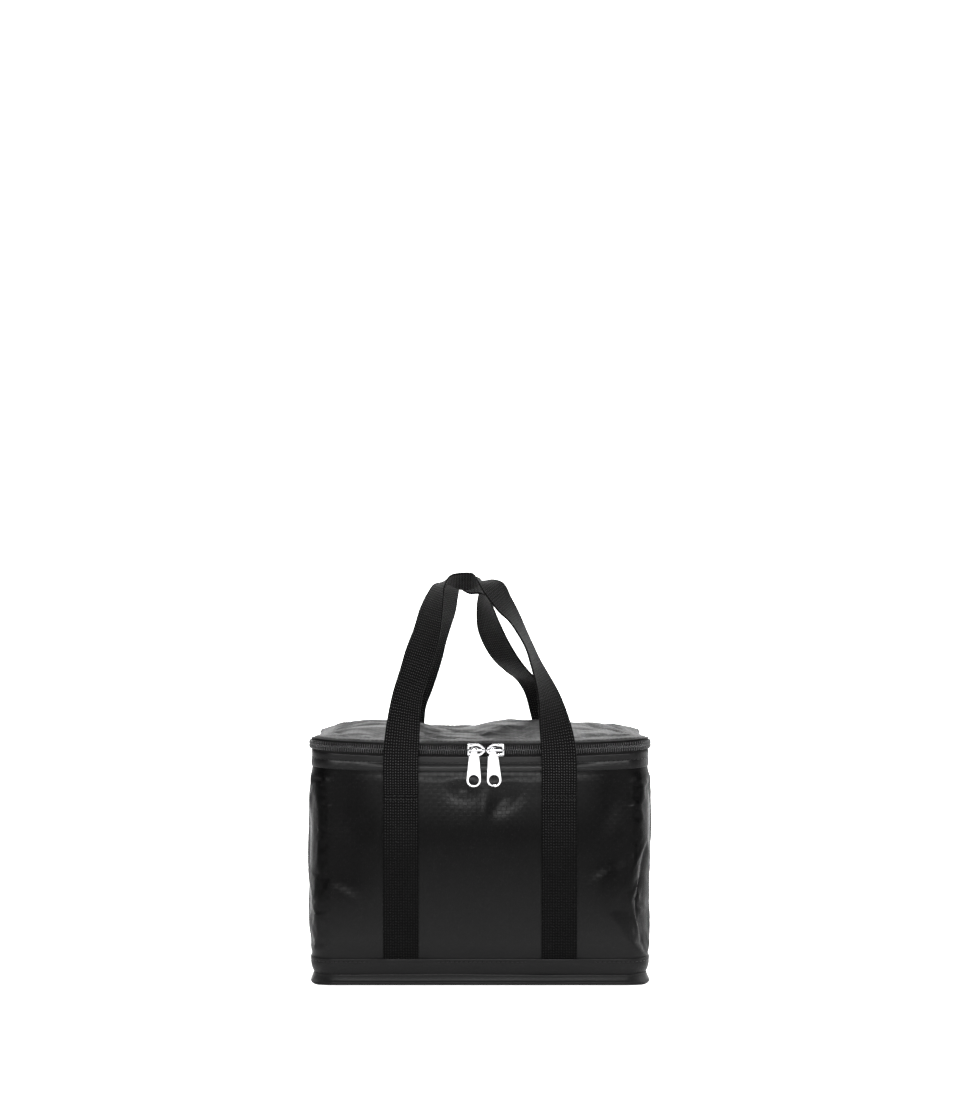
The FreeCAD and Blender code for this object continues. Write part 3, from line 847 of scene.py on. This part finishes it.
stitches("hem_stitching", *ring_line(159.4, 0.42, EDGE_SAG), "bag")
stitches("band_stitching", *ring_line(17.2, 0.9, 0.0), "bag")
lid_ring = np.c_[C + N * (CORNER - 3.0), np.zeros(len(U))]
lid_ring[:, 2] = lid_top(lid_ring) - 0.02
stitches("lid_stitching", *closed_lines(lid_ring, np.c_[N * 0.6, np.full(len(U), 0.8)]), "lid", radius=0.2)


# ------------------------------------------------------------------ webbing
# cross-sections of each loop from left to right: its outer edge, then its inner edge
FRONT_LOOP = [
    ((-69.1, -79.8, 142.5), (-43.9, -79.8, 142.5)), ((-69.1, -82.4, 150.0), (-43.9, -82.4, 150.0)),
    ((-68.9, -84.4, 161.0), (-43.8, -84.6, 161.0)), ((-68.0, -84.7, 172.5), (-43.6, -86.2, 171.5)),
    ((-66.6, -83.0, 183.5), (-43.3, -88.0, 180.5)), ((-64.3, -81.0, 196.4), (-43.1, -90.6, 193.3)),
    ((-61.0, -79.2, 211.2), (-41.9, -91.9, 206.0)), ((-57.1, -77.6, 224.9), (-38.0, -91.5, 219.0)),
    ((-53.0, -74.2, 239.6), (-32.9, -87.2, 233.8)), ((-47.2, -66.5, 255.0), (-29.0, -82.0, 250.0)),
    ((-43.0, -57.2, 269.0), (-27.1, -75.0, 264.4)), ((-37.8, -47.0, 280.0), (-26.2, -68.5, 276.0)),
    ((-32.8, -40.0, 286.3), (-25.2, -63.5, 285.6)), ((-24.5, -35.0, 286.8), (-22.0, -58.0, 292.0)),
    ((-14.0, -32.8, 282.4), (-13.9, -54.2, 294.4)), ((-5.0, -32.8, 283.2), (-5.0, -54.8, 293.9)),
    ((4.5, -35.6, 288.6), (-1.5, -59.0, 288.6)), ((15.6, -41.0, 288.4), (2.6, -62.4, 280.0)),
    ((22.8, -46.0, 276.4), (12.6, -67.4, 267.8)), ((28.4, -53.4, 265.0), (21.0, -76.6, 260.1)),
    ((32.9, -59.6, 254.3), (27.4, -83.7, 250.9)), ((37.5, -65.0, 244.0), (32.5, -89.2, 241.6)),
    ((43.1, -69.6, 232.2), (36.2, -93.2, 229.4)), ((48.8, -73.4, 222.4), (39.1, -95.4, 218.1)),
    ((55.4, -76.6, 210.5), (41.2, -95.4, 206.0)), ((61.0, -79.2, 196.9), (42.3, -93.2, 192.8)),
    ((64.9, -81.4, 184.0), (43.1, -90.0, 180.5)), ((67.4, -83.6, 173.0), (43.6, -87.4, 171.5)),
    ((68.7, -84.2, 161.0), (43.8, -84.8, 161.0)), ((69.1, -82.4, 150.0), (43.9, -82.4, 150.0)),
    ((69.1, -79.8, 142.5), (43.9, -79.8, 142.5)),
]
REAR_LOOP = [
    ((-69.1, 79.8, 142.5), (-43.9, 79.8, 142.5)), ((-69.1, 82.4, 150.0), (-43.9, 82.4, 150.0)),
    ((-69.0, 85.4, 161.0), (-43.9, 86.4, 161.0)), ((-68.2, 86.0, 172.5), (-43.8, 92.0, 171.5)),
    ((-65.5, 85.1, 190.0), (-42.4, 95.7, 187.0)), ((-60.5, 80.0, 204.0), (-37.6, 91.0, 200.0)),
    ((-55.0, 73.5, 217.0), (-33.3, 86.0, 213.0)), ((-50.0, 64.5, 230.0), (-29.3, 79.0, 226.0)),
    ((-44.5, 53.0, 244.0), (-26.0, 70.0, 240.0)), ((-38.5, 38.0, 257.0), (-22.0, 57.0, 253.0)),
    ((-32.5, 21.0, 268.0), (-18.6, 41.5, 265.0)), ((-29.0, 7.5, 280.0), (-16.4, 30.0, 277.0)),
    ((-24.0, -5.0, 286.0), (-14.6, 17.5, 288.0)), ((-18.5, -15.0, 286.0), (-12.0, 6.5, 291.0)),
    ((-8.0, -20.0, 279.2), (-7.5, 1.6, 291.2)), ((0.0, -20.0, 279.0), (-1.0, 2.4, 290.4)),
    ((5.6, -14.5, 276.6), (1.0, 8.6, 285.0)), ((9.0, -3.0, 270.0), (-1.4, 19.0, 275.6)),
    ((13.2, 14.0, 260.0), (-2.6, 33.2, 262.6)), ((18.5, 31.0, 248.5), (-1.6, 46.2, 250.0)),
    ((25.0, 44.0, 236.0), (3.4, 57.0, 237.0)), ((33.0, 54.0, 223.5), (10.5, 65.0, 226.0)),
    ((42.0, 63.5, 213.0), (19.8, 74.4, 217.0)), ((51.5, 72.5, 204.6), (28.5, 81.6, 209.6)),
    ((58.6, 78.6, 195.6), (34.6, 86.2, 199.6)), ((63.0, 82.4, 185.0), (38.4, 88.6, 186.6)),
    ((66.6, 84.6, 174.0), (41.8, 87.6, 173.0)), ((68.7, 85.0, 161.0), (43.7, 85.6, 161.0)),
    ((69.1, 82.4, 150.0), (43.9, 82.4, 150.0)), ((69.1, 79.8, 142.5), (43.9, 79.8, 142.5)),
]


def strap_face(x, z, side):
    """Distance from the middle plane to the wall's cloth under a strap at the front (-1) or back (+1)."""
    x = x + np.array([-0.9, 0, 0.9]) * WEB_W / 2
    u = x if side < 0 else np.copysign(AROUND / 2 - np.abs(x), x)
    return max(HD + wall(u, np.full(3, z)) + 0.4 * wall_rough(u, np.full(3, z)))


def sewn(x, side):
    """Cross-sections of the webbing lying on the panel, from the bottom band to the stitch line."""
    reach = math.copysign(WEB_W / 2, x)
    rows = [(z, side * (strap_face(x, z, side) + WEB_T / 2 + 0.05))
            for z in np.arange(BAND_TOP - 2.0, STRAP_TOP - 1.0, 3.0)]
    u = x if side < 0 else math.copysign(AROUND / 2 - abs(x), x)
    at_top = float(HD + wall(u, STRAP_TOP) + 0.4 * wall_rough(u, STRAP_TOP))
    rows.append((STRAP_TOP, side * (max(at_top, HD + 1.0) + WEB_T / 2 + 0.2)))
    return [((x + reach, y, z), (x - reach, y, z)) for z, y in rows]


def spline(p, at, want):
    """Smooth curve through p (n, 3) given at parameters at, by cubic Hermite."""
    d = np.gradient(p, at, axis=0)
    k = np.clip(np.searchsorted(at, want) - 1, 0, len(at) - 2)
    h = (at[k + 1] - at[k])[:, None]
    t = ((want - at[k])[:, None]) / h
    return ((2 * t ** 3 - 3 * t ** 2 + 1) * p[k] + (t ** 3 - 2 * t ** 2 + t) * h * d[k]
            + (-2 * t ** 3 + 3 * t ** 2) * p[k + 1] + (t ** 3 - t ** 2) * h * d[k + 1])


def webbing(name, sections):
    """Webbing with rounded, slightly raised edges through the cross-sections."""
    step = 1.6
    outer, inner = (np.array(edge, float) for edge in zip(*sections))
    at = lengths((outer + inner) / 2)
    want = np.linspace(0, at[-1], int(at[-1] / step))
    o, i = spline(outer, at, want), spline(inner, at, want)
    c, w = (o + i) / 2, unit(i - o)
    nor = unit(np.cross(w, unit(np.gradient(c, axis=0))))
    across = np.array([-1, -0.985, -0.95, -0.90, -0.75, -0.5, -0.25, 0,
                       0.25, 0.5, 0.75, 0.90, 0.95, 0.985, 1.0])
    lift = np.array([0.0, 0.75, 1.0, 0.92] + [0.85] * 7 + [0.92, 1.0, 0.75, 0.0])
    prof = np.c_[across * (WEB_W / 2), lift * (WEB_T / 2)]
    prof = np.r_[prof, prof[-2:0:-1] * (1, -1)]
    pts = c[:, None, :] + w[:, None, :] * prof[None, :, :1] + nor[:, None, :] * prof[None, :, 1:]
    quads, a, b = grid_faces(len(want), len(prof), False, True)
    cu = np.broadcast_to(lengths(prof) - 1.2, pts.shape[:2]).reshape(-1)[quads]
    cv = np.broadcast_to(lengths(c)[:, None], pts.shape[:2]).reshape(-1)[quads]
    last = b == len(prof) - 1
    cu[last, 2:] = cu[last, 0][:, None] + 0.4
    uvs = np.r_[np.stack([cu[:, ::-1], cv[:, ::-1]], 2).reshape(-1, 2), prof[::-1], prof]
    return new_mesh(name, pts.reshape(-1, 3), shell_faces(len(want), len(prof)), uvs, WEB)


def carry(end, loop, side):
    """A length of webbing sewn up both sides of the panel, with the carry loop between."""
    name = end + "_webbing"
    ob = webbing(name, sewn(-STRAP_X, side) + loop + sewn(STRAP_X, side)[::-1])
    y = JOINT[end + "_handle_fold"]["pos_m"][1]
    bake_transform(ob)
    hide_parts(end + "_strap_left", end + "_strap_right", end + "_handle")
    lines = []
    for x in (-STRAP_X, STRAP_X):
        for z in (STRAP_TOP - 1.9, STRAP_TOP - 4.6):
            xs = np.linspace(-WEB_W / 2 + 0.8, WEB_W / 2 - 0.8, 9) + x
            y = side * (strap_face(x, z, side) + WEB_T + 0.15)
            lines.append([(x, y, z) for x in xs])
    normals = [[(0, side, 0)] * len(line) for line in lines]
    stitches(name + "_stitching", lines, normals, "bag", 3.0, 2.3, 0.26, (end + "_stitches",), PALE_THREAD)


carry("front", FRONT_LOOP, -1)
carry("rear", REAR_LOOP, 1)


# ------------------------------------------------------------------ sliders and pulls
def plate(loops, y0, y1, bevel):
    """Flat plate with rounded edges: loops of (x, z) in mm, the first outside and the rest holes."""
    curve = bpy.data.curves.new("plate", "CURVE")
    curve.dimensions, curve.fill_mode = "2D", "BOTH"
    curve.bevel_depth, curve.bevel_resolution = bevel * 0.001, 3
    curve.extrude = (abs(y1 - y0) / 2 - bevel) * 0.001
    curve.offset = -bevel * 0.001
    for loop in loops:
        line = curve.splines.new("POLY")
        line.points.add(len(loop) - 1)
        co = np.c_[np.asarray(loop) * 0.001, np.zeros(len(loop)), np.ones(len(loop))]
        line.points.foreach_set("co", co.ravel())
        line.use_cyclic_u = True
    ob = bpy.data.objects.new("plate", curve)
    bpy.context.scene.collection.objects.link(ob)
    me = bpy.data.meshes.new_from_object(ob.evaluated_get(bpy.context.evaluated_depsgraph_get()))
    co = np.array([v.co for v in me.vertices]) * 1000
    faces = [list(p.vertices) for p in me.polygons]
    bpy.data.objects.remove(ob)
    bpy.data.curves.remove(curve)
    bpy.data.meshes.remove(me)
    verts = np.c_[co[:, 0], (y0 + y1) / 2 - co[:, 2], co[:, 1]]
    return verts, outward(verts, faces)


def tube(path, half_a, half_b, closed=False):
    """Rounded bar along path; half_a lies along the first normal and half_b across it."""
    path, k = np.asarray(path, float), 14
    n = len(path)
    half_a, half_b = np.broadcast_to(half_a, n), np.broadcast_to(half_b, n)
    t = unit(np.roll(path, -1, 0) - np.roll(path, 1, 0) if closed else np.gradient(path, axis=0))
    ref = np.array([0.0, 0, 1]) if np.abs(t[:, 2]).max() < 0.9 else np.array([1.0, 0, 0])
    a = unit(ref - t * (t @ ref)[:, None])
    b = np.cross(t, a)
    ang = 2 * np.pi * np.arange(k) / k
    ca, cb = (np.sign(s) * np.abs(s) ** 0.7 for s in (np.cos(ang), np.sin(ang)))
    pts = (path[:, None] + a[:, None] * (half_a[:, None] * ca)[..., None]
           + b[:, None] * (half_b[:, None] * cb)[..., None])
    return pts.reshape(-1, 3), shell_faces(n, k, closed)


def joined(name, pieces, dark=None):
    """One nickel mesh of several pieces; the piece numbered dark takes the dark metal that is painted shade.
    """
    faces, at, shade = [], 0, []
    for k, (v, f) in enumerate(pieces):
        shade += [int(k == dark)] * len(f)
        faces += [[q + at for q in face] for face in f]
        at += len(v)
    ob = new_mesh(name, np.concatenate([v for v, _ in pieces]), faces, None, NICKEL)
    if dark is not None:
        ob.data.materials.append(HOLLOW_SHADE)
        ob.data.polygons.foreach_set("material_index", shade)
    ob.data.set_sharp_from_angle(angle=math.radians(40))
    return ob


def smooth_loop(points, steps=6):
    """Closed Catmull-Rom curve through points."""
    p = np.asarray(points, float)
    out = []
    for i in range(len(p)):
        a, b, c, d = p[i - 1], p[i], p[(i + 1) % len(p)], p[(i + 2) % len(p)]
        for t in np.arange(steps) / steps:
            out.append(0.5 * (2 * b + (c - a) * t + (2 * a - 5 * b + 4 * c - d) * t * t
                              + (3 * b - a - 3 * c + d) * t ** 3))
    return np.array(out)


def slider(side, way):
    """Zip slider: a shouldered body with raised flanges, and a bridge that carries the pull."""
    node = "slider_" + side
    box_lo, box_hi = BOX[node]
    nose = box_hi[0] if way > 0 else box_lo[0]
    length = box_hi[0] - box_lo[0]
    half = (box_hi[2] - box_lo[2]) / 2
    mid = (box_hi[2] + box_lo[2]) / 2 - 0.3
    bridge_y = JOINT["left_pull_swing"]["pos_m"][1] * 1000
    face, back = -78.0, -(HD - 0.8 - 0.3)

    def at(u, w):
        return (nose - way * u, mid + w)

    edge = [(0.0, 0.0), (1.0, 1.9), (3.0, 3.5), (5.6, 4.5), (8.2, 4.0), (10.6, 3.6), (12.2, 3.7), (12.8, 3.3)]
    edge = [(u, w * half / 4.5) for u, w in edge]
    inner = [(1.9, 0.0), (2.6, 1.1), (4.2, 2.2), (6.2, 2.9), (8.6, 2.6), (10.6, 2.3), (11.3, 1.9),
             (11.5, 0.9)]
    rim_out = smooth_loop([at(u, w) for u, w in edge] + [at(length, 0)] + [at(u, -w) for u, w in edge[:0:-1]])
    rim_in = smooth_loop([at(u, w) for u, w in inner] + [at(11.5, -0.9)]
                         + [at(u, -w) for u, w in inner[-2:0:-1]])
    # the fourth plate fills the rim's opening in the dark metal: painted shade in the hollow
    parts = [plate([rim_out], face - 0.2, face + 0.7, 0.22), plate([rim_out, rim_in], face - 1.25, face, 0.3),
             plate([rim_out], back, back + 0.9, 0.22), plate([rim_in], face - 0.34, face + 0.1, 0.05)]
    post = [(nose - way * u, y, mid) for u, y in ((3.4, face + 0.4), (3.5, -76.0), (3.5, back + 0.5))]
    parts.append(tube(post, 0.7, 0.9))
    span = [(1.2, face - 0.2), (1.2, face - 1.3), (1.7, bridge_y + 0.5), (2.8, bridge_y),
            (5.0, bridge_y - 0.05), (8.0, bridge_y - 0.05), (10.6, bridge_y),
            (11.6, bridge_y + 0.5), (12.0, face - 1.3), (12.0, face - 0.2)]
    span = spline(np.array(span), np.linspace(0, 1, len(span)), np.linspace(0, 1, 34))
    wide = 0.85 + 0.5 * np.abs(np.linspace(-1, 1, 34)) ** 3
    parts.append(tube([(nose - way * u, y, mid + 0.1) for u, y in span], wide, 0.55))
    for w in (-1, 1):
        z = mid + w * (half - 0.35)
        flange = [(nose - way * u, face + 0.2, z) for u in (5.2, 8.0, 11.0, length - 0.5)]
        parts.append(tube(flange, 0.35, 1.5))
    finish_piece(joined("slider_body_" + side, parts, dark=3), side + "_slider", (node,))


def turned(v, pivot, tilt, swing):
    """Leans a pull forward by tilt about its bar, and sideways by swing, in degrees."""
    t, w = math.radians(tilt), math.radians(swing)
    x, y, z = v.T
    x, z = x * math.cos(w) - z * math.sin(w), x * math.sin(w) + z * math.cos(w)
    y, z = y * math.cos(t) - z * math.sin(t), y * math.sin(t) + z * math.cos(t)
    return np.c_[x, y, z] + pivot


def pull(side, swing):
    """Flat pull: an eye round the slider's bridge, a tapered blade with raised edges, a round hole."""
    node = "pull_" + side
    pivot = np.array(JOINT[side + "_pull_swing"]["pos_m"]) * 1000
    pivot[0] = (BOX[node][0][0] + BOX[node][1][0]) / 2
    end_r, hole_r, hole_z = 5.15, 3.7, -21.8
    top, top_half, lean = -5.0, 3.75, 0.09

    def arc(r, angles):
        return [(r * math.cos(a), hole_z + r * math.sin(a)) for a in angles]

    end = arc(end_r, np.linspace(math.pi - lean, 2 * math.pi + lean, 34))
    hole = arc(hole_r, np.linspace(0, 2 * math.pi, 40)[:-1])
    neck = [(top_half, top), (3.6, -4.6), (2.9, -4.0), (2.5, -3.2), (2.35, -1.2)]
    neck += [(-x, z) for x, z in neck[::-1]]
    window = [(2.55, top - 1.1), (3.0, -10.0), (3.35, -14.0), (3.3, -16.4)]
    window += [(2.2, -17.3), (0.0, -17.75), (-2.2, -17.3)] + [(-x, z) for x, z in window[::-1]]
    ring = [(0.0, 1.42 * math.cos(a), 1.42 * math.sin(a)) for a in np.linspace(0, 2 * math.pi, 28)[:-1]]
    parts = [plate([end + neck, hole], -0.42, 0.42, 0.2),
             plate([end + [(top_half, top), (-top_half, top)], hole, smooth_loop(window, 4)],
                   -0.62, 0.62, 0.2),
             tube(ring, 2.2, 0.38, closed=True),
             tube([(x, -0.55, top + 0.25) for x in np.linspace(-3.3, 3.3, 7)], 0.25, 0.3)]
    parts = [(turned(v, pivot, 6.8, swing), f) for v, f in parts]
    finish_piece(joined("pull_tab_" + side, parts), side + "_pull", (node,))


slider("left", 1)
slider("right", -1)
pull("left", -0.6)
pull("right", 2.6)


# ------------------------------------------------------------------ lining, bindings, hinge, zip ends
def tub():
    """The lining's wall, turned in at the floor."""
    c, n, u, _ = outline(3.2)
    zs = np.r_[np.linspace(WALL_TOP - 0.5, FLOOR_IN + 6, 44), FLOOR_IN + 3.2, FLOOR_IN + 1.6, FLOOR_IN + 0.9]
    dip = np.r_[np.zeros(44), -1.2, -3.0, -6.0]
    a, b = np.meshgrid(u, zs, indexing="ij")
    rough = crumple(a, b, (*ROUND, 8, 158), 260, 2.6, 0.34, 51, (8, 30)) - 0.9
    rough = np.minimum(rough, 0.3) * falling(b, 150, 158)
    o = -LINER_IN + dip[None, :] - 0.3 + rough * smoothstep(b, 8, 20)
    # where the wall is squeezed in, the lining gives way behind it
    o = np.maximum(np.minimum(o, wall(a, b) - 3.0), 1.5 - CORNER)
    return grid("lining_wall", place(c, n, o, b), u, zs, FOIL, close_u=True)


def crinkled(z, seed):
    """Height of a lining sheet at z with small creases."""
    return lambda p: z + crumple(p[:, 0], p[:, 1], (-112, 112, -66, 66), 90, 2.8, 0.22, seed, (8, 34))


def under_lid(u, z, o):
    """The binding's outer rows follow the lid's wavy edge and its inner rows lie on the lining."""
    rise = lifted(z, o)[1] - z
    return o, z + rise * smoothstep(z, 171.0, 173.6)


finish_piece(tub(), "bag", ("liner_tub",))
lining_floor = slab_cap("lining_floor", crinkled(FLOOR_IN + 1.2, 61), -LINER_IN - 4.5, FOIL, 4.0)
finish_piece(lining_floor, "bag", ())
lid_lining = slab_cap("lid_lining", crinkled(LID_UNDER + 0.35, 62), -3.6, FOIL, 3.0, flip=True)
finish_piece(lid_lining, "lid", ("liner_lid",))
rim = strip("rim_binding_tape", [(-8.4, 154.0), (-8.9, 157.5), (-8.7, 160.0), (-7.6, 161.2), (-5.0, 161.5),
                                 (-2.6, 161.3), (-1.2, 160.6), (-0.9, 159.0)],
            BINDING, lambda u, z, o: (o, z))
finish_piece(rim, "bag", ("rim_binding",))
edge = strip("lid_binding_tape", [(-1.3, 173.9), (-1.0, 173.4), (-1.5, 172.8), (-2.8, 172.0), (-4.2, 171.2),
                                  (-5.2, 170.6), (-5.6, 170.9)], BINDING, under_lid)
finish_piece(edge, "lid", ("lid_binding",))


def rear_hinge():
    """The cloth behind the zipper's ends, at the lid's hinge."""
    c, n, u, total = outline(2.2)
    keep = c[:, 1] + n[:, 1] * CORNER > ZIP_END + 5
    order = np.argsort(np.mod(u[keep], total))
    c, n, u = c[keep][order], n[keep][order], np.mod(u[keep], total)[order]
    o, z = np.array([(0.25, 159.5), (0.5, 162.5), (0.45, 165.0), (0.2, 167.2), (0.0, 168.6), (-0.05, 170.0),
                     (-0.05, 171.2), (0.0, 172.2), (0.25, 173.0)]).T
    o = np.tile(o, (len(u), 1))
    pts = np.concatenate([place(c, n, o, z), place(c, n, o[:, ::-1] - 0.9, z[::-1])], 1)
    ob = grid("hinge_cloth", pts, u, np.r_[z, z[::-1] + 20], TRIM, close_v=True)
    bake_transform(ob)
    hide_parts("hinge_strip", "hinge_flap")


def zip_end(side, s):
    """Folded tab of cloth over the end of the zipper."""
    ys = np.linspace(ZIP_END - 0.5, ZIP_END + 9, 9)
    prof = np.array([(0.4, 163.2), (1.5, 163.8), (2.2, 165.4), (2.5, 168.0), (2.2, 170.6), (1.4, 172.0),
                     (0.6, 172.2)])
    pts = np.zeros((len(ys), len(prof), 3))
    for i, y in enumerate(ys):
        t = math.sin(math.pi * (i + 0.35) / (len(ys) - 0.3)) ** 0.4
        inset = CORNER - math.sqrt(max(CORNER ** 2 - max(y - FLAT_Y, 0) ** 2, 0))
        pts[i, :, 0] = s * (HW - inset + prof[:, 0] * t)
        pts[i, :, 1] = y
        pts[i, :, 2] = prof[:, 1]
    ob = grid("zip_end_" + side, pts, ys, np.linspace(0, 12, len(prof)), TRIM, flip=s > 0)
    ob.modifiers.new("thickness", "SOLIDIFY").thickness = 0.0006
    finish_piece(ob, "bag", ("zipper_end_" + side,))


rear_hinge()
zip_end("left", -1)
zip_end("right", 1)


# ------------------------------------------------------------------ studio
FOCAL_PX, PHOTO_PX, SENSOR = 2240.0, 1098.0, 36.0  # focal length and height of the photograph in its pixels
LIGHTS = [  # name, place, target, size, power
    ("overhead", (0.0, 0.15, 1.7), (0, 0.1, 0.1), (2.2, 1.2), 9),
    ("front_top", (0.0, -2.6, 1.25), (0, 0, 0.12), (0.7, 0.55), 105),
    ("left_box", (-1.6, 0.35, 0.7), (0, 0, 0.12), (1.5, 1.5), 4),
    ("right_box", (1.6, 0.35, 0.7), (0, 0, 0.12), (1.5, 1.5), 36),
    ("backdrop", (0.0, 0.7, 2.6), (0, 2.0, 0.9), (3.2, 1.0), 90)]


def floor_material():
    """Nearly white, and brighter towards the back, where the photograph's ground is pure white."""
    n = Nodes("studio_floor")
    tone = n.noise(n.space(), 3.0, 2.0)
    depth = n.split(n.space())[1]
    # painted light: the floor glows, weakly far in front of the bag and strongly under and behind it
    glow = n.ramp(depth, -1.3, -0.42, 0.18, 0.78)
    color = n.mix(n.ramp(tone, 0.3, 0.7), grey(0.86), grey(0.88))
    return n.done(Emission_Strength=glow, Base_Color=color, Roughness=0.6, Emission_Color=grey(1))


def studio():
    t = np.linspace(0, math.pi / 2, 13)[1:]
    prof = [(-9000, 0.0), (-1200, 0.0), (300, 0.0), (1200, 0.0)]
    prof += [(1200 + 900 * math.sin(a), 900 - 900 * math.cos(a)) for a in t] + [(2100, 4200)]
    xs = np.linspace(-5000, 5000, 9)
    pts = np.array([[(x, y, z) for y, z in prof] for x in xs])
    grid("studio_sweep", pts, xs, np.arange(len(prof)), floor_material())

    scene = bpy.context.scene
    for name, loc, target, size, power in LIGHTS:
        lamp = bpy.data.lights.new(name, "AREA")
        lamp.shape = "RECTANGLE"
        lamp.size, lamp.size_y = size
        lamp.energy = power
        ob = bpy.data.objects.new(name, lamp)
        scene.collection.objects.link(ob)
        ob.location = loc
        ob.rotation_euler = Vector(np.subtract(target, loc)).to_track_quat("-Z", "Y").to_euler()
    scene.world = bpy.data.worlds.new("studio")
    scene.world.use_nodes = True
    ground = scene.world.node_tree.nodes["Background"]
    ground.inputs[0].default_value = grey(1)
    ground.inputs[1].default_value = 0.05
    scene.view_settings.view_transform = "Standard"

    cam = bpy.data.cameras.new("camera")
    cam.sensor_width = SENSOR
    cam.lens = FOCAL_PX / PHOTO_PX * SENSOR
    cam.clip_start, cam.clip_end = 0.05, 50
    ob = bpy.data.objects.new("camera", cam)
    scene.collection.objects.link(ob)
    ob.location = (0, -1.675, 0.312)
    ob.rotation_euler = (math.pi / 2, 0, 0)
    scene.camera = ob


studio()
bpy.context.view_layer.update()
